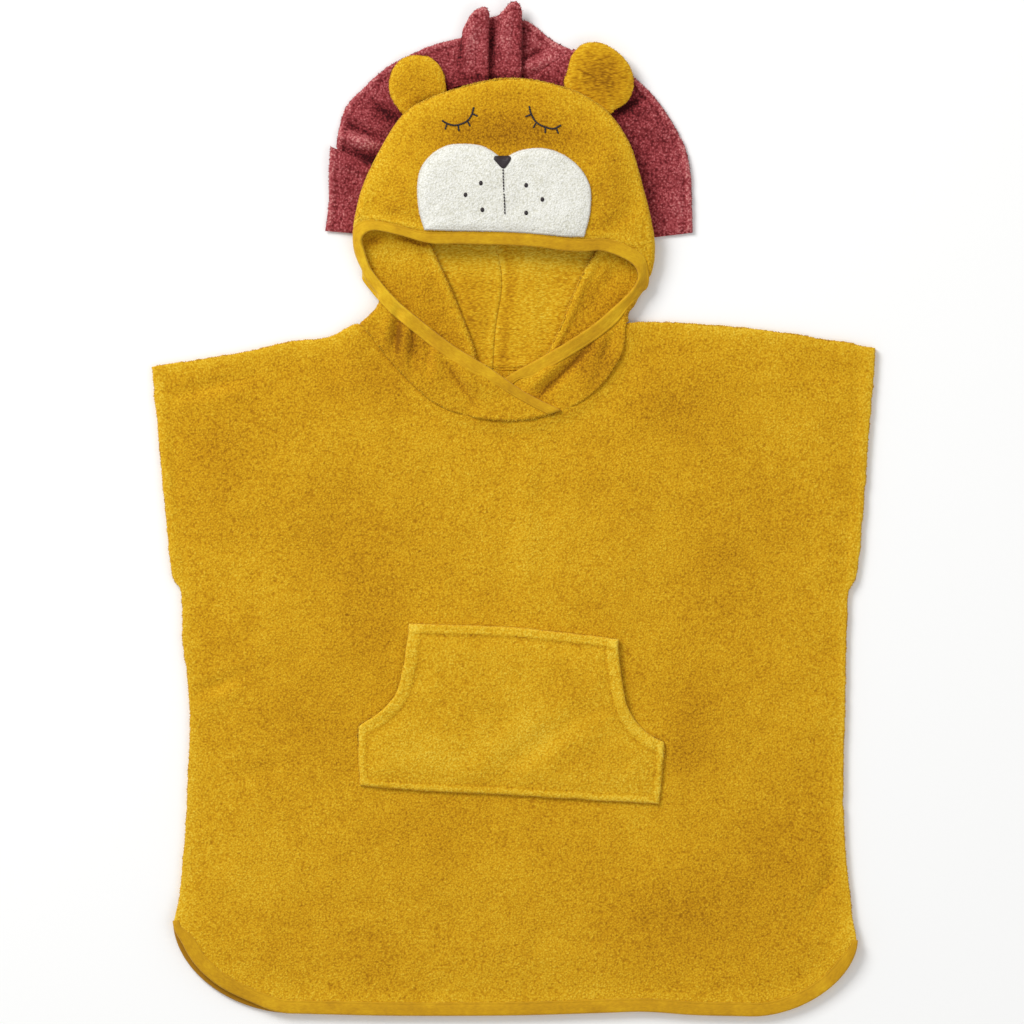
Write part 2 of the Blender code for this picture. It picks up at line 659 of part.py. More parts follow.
def make_hood_binding():
    """The tape folded over the hood's opening edge, from one neck end to the other."""
    grid, reaches = hood_front_grid(per_span=1)
    normals = grid_normals(grid)
    steps = len(TAPE_REACHES) - 2
    sections = []
    for line, lift, reach_of in zip(grid, normals, reaches):
        start = (line[1] - line[0]) / np.linalg.norm(line[1] - line[0])
        section = []
        for reach, height in tape_profile(steps):
            column = int(np.argmin(np.abs(reach_of - max(reach, 0.0))))
            section.append(line[column] + start * min(reach, 0.0) + lift[column] * height)
        sections.append(section)
    return tube("hood_binding", np.array(sections), "tape_mustard")


def make_hood_back(side):
    """One half of the hood's back, from the neckline up, with its edge along the centre seam."""
    rows = dict(zip(HOOD_BACK_COLUMNS, np.array(HOOD_BACK_ROWS).T))
    neck = through(BACK_NECK, 4)[::-1]
    seam = np.stack([rows["seam_x"], rows["y"]], axis=1)
    peak_x = rows["seam_x"][-1]
    away = -1.0 if side == "left" else 1.0
    foot_start, foot_points = HOOD_BACK_FOOT[side]
    foot_x = np.linspace(foot_start, BACK_SEAM_FOOT_X + away * GAP, foot_points)
    outer = np.stack([rows[side + "_x"], rows["y"]], axis=1)
    shift = away * GAP / 2
    foot_y = np.interp(foot_x, neck[:, 0], neck[:, 1]) + 2 * GAP
    foot = np.stack([foot_x, foot_y], axis=1)
    middle = np.vstack([seam + (shift, 0.0), [(peak_x + shift, HOOD_BACK_TOP)]])
    outline = np.vstack([foot, middle, outer[::-1]])
    rings = ((0.0, 0.0, TERRY - EDGE_EASE), (1.0, 0.0, TERRY))
    return ring_panel("hood_back_" + side, outline, rings, "terry_mustard")


def make_mane(name):
    """One stretch of the mane, as straight ribs between its smoothed inner and outer lines."""
    rows = through(MANE_STRETCHES[name], 2)
    shares = np.linspace(1.0, 0.0, MANE_RIB_POINTS)[None, :, None]
    inner, outer = rows[:, None, :3], rows[:, None, 3:]
    return wall(name, inner + (outer - inner) * shares, MANE_WALL, "terry_red")


def make_ear(name):
    """A round ear of two cloths, cut off where the hood's seam crosses it."""
    ear = EARS[name]
    angles = np.radians(np.arange(0, 360, 15))
    toward = np.cos(angles - math.radians(ear["toward"]))
    reach = np.minimum(ear["radius"], ear["seam"] / np.maximum(toward, 0.05))
    middle = np.array([ear["x"], ear["y"]])
    outline = middle + np.stack([np.cos(angles), np.sin(angles)], axis=1) * reach[:, None]
    half = EAR_WALL / 2
    centre = ear["floor"] + half

    def height(sign):
        return lambda x, y, share: centre + sign * half * (1.0 - (1.0 - EAR_EDGE) * share**6)

    return round_panel(name, outline, middle, EAR_RINGS, height(-1), height(1), "terry_mustard")


def top_of(*pieces):
    """A function that gives the highest point of the pieces above x, y."""
    trees = []
    for piece in pieces:
        corners = [vertex.co for vertex in piece.data.vertices]
        trees.append(BVHTree.FromPolygons(corners, [face.vertices for face in piece.data.polygons]))

    def height(x, y):
        start = Vector((x * MM, y * MM, 1.0))
        hits = [tree.ray_cast(start, Vector((0, 0, -1)))[0] for tree in trees]
        return max(hit.z for hit in hits if hit) / MM

    return height


def make_applied(name, outline, middle, base, thickness, cloth):
    """A flat piece sewn on: its underside follows the base, moved out, and its edge is thinner."""

    def lowest(x, y, share):
        return base(x, y) + APPLIED_GAP

    def highest(x, y, share):
        return lowest(x, y, share) + thickness * (1.0 if share < 1.0 else APPLIED_EDGE)

    return round_panel(name, outline, middle, APPLIED_RINGS, lowest, highest, cloth)


def centre_on_origin(pieces):
    """Hangs the pieces from an empty placed so that their box is centred over the origin."""
    corners = np.vstack([[v.co for v in piece.data.vertices] for piece in pieces])
    middle = (corners.min(axis=0) + corners.max(axis=0)) / 2
    holder = bpy.data.objects.new("poncho", None)
    bpy.context.collection.objects.link(holder)
    holder.location = (-middle[0], -middle[1], -corners[:, 2].min())
    for piece in pieces:
        piece.parent = holder


def main():
    clear_scene()
    pieces = [
        make_body_panel("body_back", BACK_NECK, 0.0, BACK_FLOOR, BACK_HEM_MID),
        make_body_panel("body_front", FRONT_NECK, FRONT_CORNER_INSET, FRONT_FLOOR, FRONT_HEM_MID),
        make_hem_binding("hem_binding_back", BACK_NECK, 0.0, BACK_HEM_MID),
        make_hem_binding("hem_binding_front", FRONT_NECK, FRONT_CORNER_INSET, FRONT_HEM_MID),
        make_pocket(),
        make_hood_back("left"),
        make_hood_back("right"),
    ]
    hood_front = make_hood_front()
    pieces += [hood_front, make_hood_binding()]
    pieces += [make_mane(name) for name in MANE_STRETCHES]
    pieces += [make_ear(name) for name in EARS]
    muzzle = make_applied("muzzle", MUZZLE, MUZZLE_MIDDLE, top_of(hood_front), MUZZLE_WALL, "terry_white")
    face_top = top_of(muzzle, hood_front)
    nose_seat = max(face_top(x, y) for x, y in (*NOSE, NOSE_MIDDLE))
    nose = make_applied("nose", NOSE, NOSE_MIDDLE, lambda x, y: nose_seat, NOSE_WALL, "thread_black")
    pieces += [muzzle, nose]
    centre_on_origin(pieces)


main()
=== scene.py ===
import math

import bpy
import numpy as np
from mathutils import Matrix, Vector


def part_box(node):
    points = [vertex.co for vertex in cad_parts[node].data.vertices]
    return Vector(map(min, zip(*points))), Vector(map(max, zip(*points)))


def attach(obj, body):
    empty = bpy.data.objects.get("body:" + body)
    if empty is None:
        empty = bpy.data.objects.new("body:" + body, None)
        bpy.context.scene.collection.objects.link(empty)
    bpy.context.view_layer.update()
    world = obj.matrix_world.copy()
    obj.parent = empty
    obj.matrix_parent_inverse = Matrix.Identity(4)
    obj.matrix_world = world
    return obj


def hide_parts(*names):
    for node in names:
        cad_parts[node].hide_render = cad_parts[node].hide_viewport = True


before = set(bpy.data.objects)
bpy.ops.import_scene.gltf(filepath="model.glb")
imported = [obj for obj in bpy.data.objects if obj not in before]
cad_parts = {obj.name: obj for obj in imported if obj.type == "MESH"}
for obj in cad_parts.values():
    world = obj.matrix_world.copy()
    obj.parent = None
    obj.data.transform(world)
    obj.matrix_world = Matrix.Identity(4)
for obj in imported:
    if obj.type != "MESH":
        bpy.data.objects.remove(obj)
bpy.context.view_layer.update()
print("frame loaded")

# All sizes are in millimetres: x across, y up from the hem to the hood, z up from the surface.
# The back panel's highest corner ties these axes to the frame.
cornerInMm = np.array((310.4, 596.0, 2.5))
frameShift = np.array(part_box("body_back")[1]) * 1000.0 - cornerInMm

cloth = {
    "wall": 2.5,  # terry, with its loops pressed flat
    "gap": 0.3,
    "edgeRound": 1.9,  # distance over which a cloth's edge rounds off
    "rimSteps": (0.0, 0.12, 0.45, 1.0, 1.9),
    "loopSize": 4.2,  # the lumps that the loops gather in, in the mesh
    "loopHeight": 0.16,
    "tuftSize": 11.0,
    "tuftHeight": 0.3,
}


# Curves, surfaces and noise.


def smoothStep(value):
    # 3v^2 - 2v^3, held at 0 below 0 and at 1 above 1
    value = np.clip(value, 0.0, 1.0)
    return value * value * (3.0 - 2.0 * value)


def bell(value, width, middle=0.0):
    # exp(-((value - middle) / width)^2): 1 at the middle, fading over the width
    return np.exp(-(((value - middle) / width) ** 2))


def mix(first, second, share):
    # the first at a share of 0, the second at 1
    return first * (1 - share) + second * share


def unit(steps):
    # the same steps, each one long
    return steps / np.maximum(np.linalg.norm(steps, axis=-1, keepdims=True), 1e-9)


def toEnds(reached):
    # the run from each point to the nearer end of its line
    return np.minimum(reached, reached[-1] - reached)


def throughPoints(points, perSpan, closed=False):
    # Catmull-Rom: a cubic on each span whose slope at a point is half the step between its neighbours
    points = np.asarray(points, float)
    if closed:
        padded = np.vstack([points[-1:], points, points[:2]])
    else:
        padded = np.vstack([2 * points[:1] - points[1:2], points, 2 * points[-1:] - points[-2:-1]])
    before, start, end, after = (padded[k : len(padded) - 3 + k, None] for k in range(4))
    t = (np.arange(perSpan) / perSpan)[None, :, None]
    curve = start + 0.5 * t * (end - before)
    curve = curve + t**2 * (before - 2.5 * start + 2.0 * end - 0.5 * after)
    curve = curve + t**3 * (1.5 * (start - end) + 0.5 * (after - before))
    curve = curve.reshape(-1, points.shape[1])
    return curve if closed else np.vstack([curve, points[-1:]])


def lineLengths(line):
    # the running sum of the steps between points
    return np.concatenate([[0.0], np.cumsum(np.linalg.norm(np.diff(line, axis=0), axis=1))])


def alongLine(line, shares):
    # points at shares of the line's whole length
    reached = lineLengths(line)
    wanted = np.asarray(shares) * reached[-1]
    return np.stack([np.interp(wanted, reached, line[:, k]) for k in range(line.shape[1])], axis=1)


def everyFew(line, step, closed=False):
    # the line again, with points a step apart
    if closed:
        line = np.vstack([line, line[:1]])
    count = max(3, int(round(lineLengths(line)[-1] / step)))
    return alongLine(line, np.linspace(0.0, 1.0, count + 1))[: count if closed else None]


def leftOf(line, closed=False):
    # unit steps to the left of a plan line, from the span that runs through each point's neighbours
    if closed:
        span = np.roll(line, -1, axis=0) - np.roll(line, 1, axis=0)
    else:
        span = np.gradient(line, axis=0)
    span = unit(span[:, :2])
    return np.stack([-span[:, 1], span[:, 0]], axis=1)


def mitredLeft(line):
    # as leftOf, but long enough at a corner that both sides keep their distance
    spans = np.diff(line, axis=0)
    sides = []
    for span in (np.vstack([spans, spans[-1]]), np.vstack([spans[0], spans])):
        step = unit(span)
        sides.append(np.stack([-step[:, 1], step[:, 0]], axis=1))
    return (sides[0] + sides[1]) / (1.0 + (sides[0] * sides[1]).sum(axis=1))[:, None]


def distanceTo(x, y, line):
    # the distance in plan from each point to the nearest place on the line
    flat = np.column_stack([np.ravel(x), np.ravel(y)])
    start, span = line[:-1, :2], np.diff(line[:, :2], axis=0)
    length = np.maximum((span**2).sum(axis=1), 1e-9)
    found = []
    for block in np.array_split(flat, max(1, len(flat) // 3000)):
        away = block[:, None] - start
        share = np.clip((away * span).sum(axis=2) / length, 0.0, 1.0)
        found.append(np.sqrt(((away - share[:, :, None] * span) ** 2).sum(axis=2).min(axis=1)))
    return np.concatenate(found).reshape(np.shape(x))


def mottle(a, b, size, seed):
    # noise from -1 to 1: random heights on a turned lattice of that size, eased between its points
    heights = np.random.default_rng(seed).uniform(-1.0, 1.0, (128, 128))
    turn = 0.6 + 0.7 * seed
    across = (a * math.cos(turn) + b * math.sin(turn)) / size + 64.3
    along = (b * math.cos(turn) - a * math.sin(turn)) / size + 64.7
    i, j = np.floor(across).astype(int), np.floor(along).astype(int)
    s, t = smoothStep(across - i), smoothStep(along - j)
    i, j, k, m = i % 128, j % 128, (i + 1) % 128, (j + 1) % 128
    return mix(mix(heights[i, j], heights[k, j], s), mix(heights[i, m], heights[k, m], s), t)


def creaseHeight(x, y, rows):
    # each row adds height * exp(-(distance / width)^2) beside its line, fading towards the line's ends
    total = np.zeros(np.shape(x))
    for startX, startY, endX, endY, width, height in rows:
        span = np.array((endX - startX, endY - startY))
        share = ((x - startX) * span[0] + (y - startY) * span[1]) / (span**2).sum()
        held = np.clip(share, 0.0, 1.0)
        distance = np.hypot(x - startX - held * span[0], y - startY - held * span[1])
        fade = 0.35 + 0.65 * np.sin(math.pi * held)
        total += height * fade * bell(distance, width)
    return total


def terryLumps(a, b, seed, strength=1.0):
    # the loops' lumps and the larger tufts that they gather in
    fine = cloth["loopHeight"] * mottle(a, b, cloth["loopSize"], seed)
    return strength * (fine + cloth["tuftHeight"] * mottle(a, b, cloth["tuftSize"], seed + 1))


def roundedEdge(distance, over=None):
    # a quarter circle: 0 at the edge and 1 from the rounding's width inwards
    inside = np.clip(distance / (over or cloth["edgeRound"]), 0.0, 1.0)
    return np.sqrt(np.maximum(0.0, 1.0 - (1.0 - inside) ** 2))


def cellCross(grid):
    # the cross product of each cell's diagonals, which is twice its area along its normal
    return np.cross(grid[1:, 1:] - grid[:-1, :-1], grid[:-1, 1:] - grid[1:, :-1])


def gridNormals(grid):
    # the mean of the neighbouring cells' unit normals
    cells = unit(cellCross(grid))
    normal = np.zeros_like(grid)
    for rows in (slice(1, None), slice(None, -1)):
        for columns in (slice(1, None), slice(None, -1)):
            normal[rows, columns] += cells
    return unit(normal)


def gridArea(grid):
    # the cells' areas, summed
    return float(np.linalg.norm(cellCross(grid), axis=2).sum() / 2)


def edgeShares(length, cell):
    # shares of a length: the rounding's steps at both ends, and a cell apart between them
    close = np.array(cloth["rimSteps"]) / length
    count = max(3, int(round((1.0 - 2.0 * close[-1]) * length / cell)) + 1)
    middle = np.linspace(close[-1], 1.0 - close[-1], count)
    return np.concatenate([close[:-1], middle, (1.0 - close[:-1])[::-1]])


def coonsPatch(bottom, top, left, right, cell):
    # (1-v)B + vT + (1-u)L + uR less the bilinear blend of the corners, with the distance to each side
    sides = [np.asarray(line, float) for line in (bottom, top, left, right)]
    lengths = [lineLengths(line)[-1] for line in sides]
    u = edgeShares(min(lengths[:2]), cell)
    v = edgeShares(min(lengths[2:]), cell)
    b, t = alongLine(sides[0], u)[None], alongLine(sides[1], u)[None]
    l, r = alongLine(sides[2], v)[:, None], alongLine(sides[3], v)[:, None]
    s, w = u[None, :, None], v[:, None, None]
    corners = mix(mix(b[:, :1], b[:, -1:], s), mix(t[:, :1], t[:, -1:], s), w)
    patch = (1 - w) * b + w * t + (1 - s) * l + s * r - corners
    return patch, u, v


# Meshes.


def camelName(name):
    # "mane_pleat_left" as "manePleatLeft"
    words = name.split("_")
    return words[0] + "".join(word.capitalize() for word in words[1:])


def makeMesh(name, points, faces, stuff, replaces=()):
    # faces are arrays of point numbers, one array for each number of corners
    sizes = np.concatenate([np.full(len(f), f.shape[1]) for f in faces])
    corners = np.concatenate([f.ravel() for f in faces])
    fans = np.concatenate([f[:, [0, k, k + 1]] for f in faces for k in range(1, f.shape[1] - 1)])
    a, b, c = (points[fans[:, k]] for k in range(3))
    if (a * np.cross(b, c)).sum() < 0:  # the signed volume shows which way the faces point
        corners = np.concatenate([f[:, ::-1].ravel() for f in faces])
    starts = np.concatenate([[0], np.cumsum(sizes)[:-1]])
    mesh = bpy.data.meshes.new(name)
    mesh.vertices.add(len(points))
    mesh.vertices.foreach_set("co", ((points + frameShift) * 0.001).astype(np.float32).ravel())
    mesh.loops.add(len(corners))
    mesh.loops.foreach_set("vertex_index", corners.astype(np.int32))
    mesh.polygons.add(len(sizes))
    mesh.polygons.foreach_set("loop_start", starts.astype(np.int32))
    mesh.update(calc_edges=True)
    mesh.validate()
    mesh.shade_smooth()
    mesh.materials.append(stuff[0])
    piece = bpy.data.objects.new(name, mesh)
    bpy.context.collection.objects.link(piece)
    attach(piece, "root")
    if replaces:
        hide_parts(*replaces)
    return piece


def gridFaces(rows, columns, start=0):
    # the cells of a grid whose points are numbered row by row
    i, j = np.meshgrid(np.arange(rows - 1), np.arange(columns - 1), indexing="ij")
    first = (start + i * columns + j).ravel()
    return np.stack([first, first + columns, first + columns + 1, first + 1], axis=1)


def addTone(piece, tone):
    # a tone at each point, from -1 dark to 1 pale: mostly painted shade and painted light, partly the
    # pile's lie
    layer = piece.data.attributes.new("pileAndShadeTone", "FLOAT", "POINT")
    layer.data.foreach_set("value", np.ravel(tone).astype(np.float32))


def patchTone(x, y, rows):
    # each row adds tone * exp(-((x / width)^2 + (y / height)^2)) about its middle
    total = np.zeros(np.shape(x))
    for middleX, middleY, width, height, tone in rows:
        total += tone * np.exp(-(((x - middleX) / width) ** 2) - ((y - middleY) / height) ** 2)
    return total


def makeShell(name, upper, lower, stuff, uv=None, tone=None, replaces=()):
    # two grids a wall apart, joined round their rim, with the cloth's own run as a UV map
    rows, columns = upper.shape[:2]
    under = rows * columns
    rim = np.concatenate(
        [
            np.arange(columns), np.arange(1, rows) * columns + columns - 1,
            (rows - 1) * columns + np.arange(columns - 2, -1, -1), np.arange(rows - 2, 0, -1) * columns,
        ],
    )
    after = np.roll(rim, -1)
    faces = np.vstack(
        [
            gridFaces(rows, columns), gridFaces(rows, columns, under)[:, ::-1],
            np.stack([rim, after, under + after, under + rim], axis=1),
        ],
    )
    points = np.vstack([upper.reshape(-1, 3), lower.reshape(-1, 3)])
    piece = makeMesh(name, points, [faces], stuff, replaces)
    if tone is not None:
        addTone(piece, np.concatenate([np.ravel(tone)] * 2))
    if uv is not None:
        both = np.tile(uv.reshape(-1, 2) * 0.001, (2, 1))
        layer = piece.data.uv_layers.new(name="clothRun")
        index = np.empty(len(piece.data.loops), np.int32)
        piece.data.loops.foreach_get("vertex_index", index)
        layer.uv.foreach_set("vector", both[index].astype(np.float32).ravel())
    return piece


def tubeSides(count, around):
    # the quads between the rings of a tube whose points are numbered ring by ring
    i, j = np.meshgrid(np.arange(count - 1), np.arange(around), indexing="ij")
    n = (j + 1) % around
    return np.stack([i * around + j, i * around + n, (i + 1) * around + n, (i + 1) * around + j], axis=-1)


def makeTube(name, sections, stuff, replaces):
    # rings of points carried along a path, each end closed by a fan to its middle
    count, around = sections.shape[:2]
    ring = np.arange(around)
    following = (ring + 1) % around
    last = (count - 1) * around
    pole = count * around
    first = np.stack([following, ring, np.full(around, pole)], axis=1)
    final = np.stack([last + ring, last + following, np.full(around, pole + 1)], axis=1)
    faces = [tubeSides(count, around).reshape(-1, 4), np.vstack([first, final])]
    ends = sections[[0, -1]].mean(axis=1)
    return makeMesh(name, np.vstack([sections.reshape(-1, 3), ends]), faces, stuff, replaces)


# Materials.


def srgb(code):
    # the linear colour of an sRGB hex value
    parts = np.array([int(code[k : k + 2], 16) for k in (1, 3, 5)]) / 255.0
    linear = np.where(parts <= 0.04045, parts / 12.92, ((parts + 0.055) / 1.055) ** 2.4)
    return (*linear.tolist(), 1.0)


def setInputs(tree, node, inputs):
    # each input as a value, or as a link from a socket or from a node's first output
    for name, value in inputs.items():
        if isinstance(value, bpy.types.Node):
            value = value.outputs[0]
        if isinstance(value, bpy.types.NodeSocket):
            tree.links.new(value, node.inputs[name])
        else:
            node.inputs[name].default_value = value


def addNode(tree, kind, inputs=None, **settings):
    # one node with its settings, and its inputs as values or links
    node = tree.nodes.new("ShaderNode" + kind)
    for name, value in settings.items():
        setattr(node, name, value)
    setInputs(tree, node, inputs or {})
    return node


def newMaterial(name):
    material = bpy.data.materials.new(name)
    material.use_nodes = True
    return material, material.node_tree, material.node_tree.nodes["Principled BSDF"]


def colourAndRelief(tree, shader, look, colouring, relief, surface):
    # the colour from a ramp of hex stops, the bump from a height, and the shader's uniform values
    ramp = addNode(tree, "ValToRGB", {"Fac": colouring})
    elements = ramp.color_ramp.elements
    for index, (place, code) in enumerate(look["stops"]):
        element = elements[index] if index < 2 else elements.new(place)
        element.position = place
        element.color = srgb(code)
    distance = look["bumpMm"] * 0.001
    bump = addNode(tree, "Bump", {"Height": relief, "Distance": distance, "Strength": look["bump"]})
    setInputs(tree, shader, {"Base Color": ramp, "Normal": bump, **surface})


noiseInputs = ("Vector", "Scale", "Detail", "Roughness", "Distortion")


def terryCloth(name, look):
    # cotton terry: matte yarn loops, with painted shade between them and painted highlights at their
    # tips, brushed into patches.
    # The colour's place on the ramp mixes the loops, their nap and broad patches, then adds the points'
    # tone of painted light and shade
    material, tree, shader = newMaterial(name)
    place = addNode(tree, "TexCoord").outputs["Object"]
    turn = (0.0, 0.0, math.radians(look["rowAngle"]))
    turned = addNode(tree, "Mapping", {"Vector": place, "Rotation": turn, "Scale": look["rowStretch"]})
    loops = {"Vector": turned, "Scale": 1000.0 / look["loopMm"], "Randomness": 0.9}
    loops = addNode(tree, "TexVoronoi", loops, feature="SMOOTH_F1")
    curls, nap, broad = (
        addNode(tree, "TexNoise", dict(zip(noiseInputs, (vector, 1000.0 / size, *rest))))
        for vector, size, *rest in (
            (turned, look["curlMm"], 2.5, 0.62, 0.9),
            (place, look["napMm"], 3.0, 0.6, 0.4),
            (place, look["broadMm"], 1.5, 0.5, 0.0),
        )
    )
    pile = addNode(tree, "Math", {0: curls, 1: loops}, operation="SUBTRACT")
    pile = addNode(tree, "MapRange", {"Value": pile, "From Min": -0.45, "From Max": 0.55})
    mixed = addNode(tree, "Mix", {"Factor": look["napShare"], "A": pile, "B": nap}, data_type="FLOAT")
    mixed = addNode(
        tree, "Mix", {"Factor": look["broadShare"], "A": mixed, "B": broad}, data_type="FLOAT",
    )
    tone = addNode(tree, "Attribute", attribute_name="pileAndShadeTone").outputs["Fac"]
    toned = addNode(tree, "Math", {0: tone, 1: look["toneReach"], 2: mixed}, operation="MULTIPLY_ADD")
    surface = {"Roughness": 0.96, "Specular IOR Level": 0.15, "Sheen Weight": look["sheen"]}
    sheen = {"Sheen Roughness": 0.45, "Sheen Tint": srgb(look["sheenColour"])}
    colourAndRelief(tree, shader, look, toned, pile, {**surface, **sheen})
    return material


def bindingTape(name, look):
    # folded cotton tape: close flat threads, smoother and more even than the terry
    material, tree, shader = newMaterial(name)
    run = addNode(tree, "UVMap", uv_map="clothRun")
    place = addNode(tree, "TexCoord").outputs["Object"]
    turn = (0.0, 0.0, math.radians(look["threadAngle"]))
    threads = addNode(tree, "Mapping", {"Vector": run, "Rotation": turn, "Scale": look["threadStretch"]})
    weave, wear = (
        addNode(tree, "TexNoise", dict(zip(noiseInputs, (vector, 1000.0 / size, *rest))))
        for vector, size, *rest in (
            (threads, look["threadMm"], 2.0, 0.6),
            (place, look["wearMm"], 3.0, 0.55),
        )
    )
    mixed = addNode(tree, "Mix", {"Factor": look["wearShare"], "A": weave, "B": wear}, data_type="FLOAT")
    # the points' tone adds its painted light and shade to the tape's colour
    tone = addNode(tree, "Attribute", attribute_name="pileAndShadeTone").outputs["Fac"]
    toned = addNode(tree, "Math", {0: tone, 1: look["toneReach"], 2: mixed}, operation="MULTIPLY_ADD")
    surface = {"Roughness": 0.82, "Specular IOR Level": 0.25, "Sheen Weight": 0.12}
    colourAndRelief(tree, shader, look, toned, weave, surface)
    return material


def sewingThread(name, look):
    # twisted cotton or rayon thread: fine slanted lines and a dull gleam
    material, tree, shader = newMaterial(name)
    place = addNode(tree, "TexCoord").outputs["Object"]
    strands = {"Vector": place, "Scale": 1000.0 / look["strandMm"], "Detail": 2.0, "Roughness": 0.7}
    strands = addNode(tree, "TexNoise", strands)
    surface = {"Roughness": look["roughness"], "Specular IOR Level": 0.35}
    colourAndRelief(tree, shader, look, strands, strands, surface)
    return material


# loop and curl sizes are coarser than real terry's 1 mm, so that they show at this distance
# each ramp's dark stops are painted shade between the loops, and its pale stops painted highlights at the
# loops' tips
mustardLook = {
    "stops": ((0.1, "#8a5805"), (0.34, "#b8810e"), (0.5, "#cd9713"), (0.66, "#dcac1f"), (0.9, "#f0cc44")),
    "loopMm": 1.5, "curlMm": 1.7, "napMm": 15.0, "broadMm": 95.0, "napShare": 0.26, "broadShare": 0.16,
    "toneReach": 0.22, "rowAngle": 0.0, "rowStretch": (1.0, 1.0, 1.0), "bumpMm": 0.8, "bump": 0.75,
    "sheen": 0.3, "sheenColour": "#ffe08a",
}
rowsLook = {
    **mustardLook, "rowAngle": 52.0, "rowStretch": (0.45, 1.25, 1.0), "loopMm": 1.7, "curlMm": 1.9,
}
interiorLook = {**mustardLook, "rowAngle": 8.0, "rowStretch": (0.55, 1.2, 1.0)}
redLook = {
    **mustardLook,
    "stops": (
        (0.18, "#3c0b10"), (0.35, "#6d2024"), (0.5, "#8e363a"), (0.65, "#ae5357"), (0.86, "#d98f8a"),
    ),
    "sheenColour": "#ffb4ac", "bump": 0.95, "loopMm": 1.8, "curlMm": 2.1,
}
whiteLook = {
    **mustardLook,
    "stops": (
        (0.14, "#c4c3b4"), (0.36, "#dbd9ca"), (0.52, "#e9e8de"), (0.68, "#f3f2ea"), (0.9, "#fdfcfa"),
    ),
    "sheenColour": "#ffffff", "sheen": 0.1,
}
tapeLook = {
    "stops": ((0.2, "#a87605"), (0.5, "#c89508"), (0.68, "#d9a912"), (0.95, "#ecc526")), "threadMm": 1.3,
    "threadAngle": 35.0, "threadStretch": (1.0, 0.35, 1.0), "wearMm": 14.0, "wearShare": 0.55,
    "toneReach": 0.3, "bumpMm": 0.3, "bump": 0.5,
}
threadLook = {"strandMm": 0.6, "bumpMm": 0.25, "bump": 0.6}
blackLook = {**threadLook, "stops": ((0.3, "#1b1517"), (0.7, "#3a3034")), "roughness": 0.5}
paleLook = {**threadLook, "stops": ((0.3, "#e4e3da"), (0.7, "#fbfbf8")), "roughness": 0.6}

# each cloth and thread is a pair: its material and its slot
terryMustard = terryCloth("mustardCottonTerry", mustardLook), "terry_mustard"
terryRows = terryCloth("rowedMustardCottonTerry", rowsLook), "terry_mustard"
terryInterior = terryCloth("innerMustardCottonTerry", interiorLook), "terry_mustard"
terryRed = terryCloth("brickRedCottonTerry", redLook), "terry_red"
terryWhite = terryCloth("offWhiteCottonTerry", whiteLook), "terry_white"
tapeMustard = bindingTape("mustardBindingTape", tapeLook), "tape_mustard"
threadBlack = sewingThread("blackEmbroideryThread", blackLook), "thread_black"
threadWhite = sewingThread("whiteEmbroideryThread", paleLook), "terry_white"
print("materials made")


# The body's outline, creases and patches.

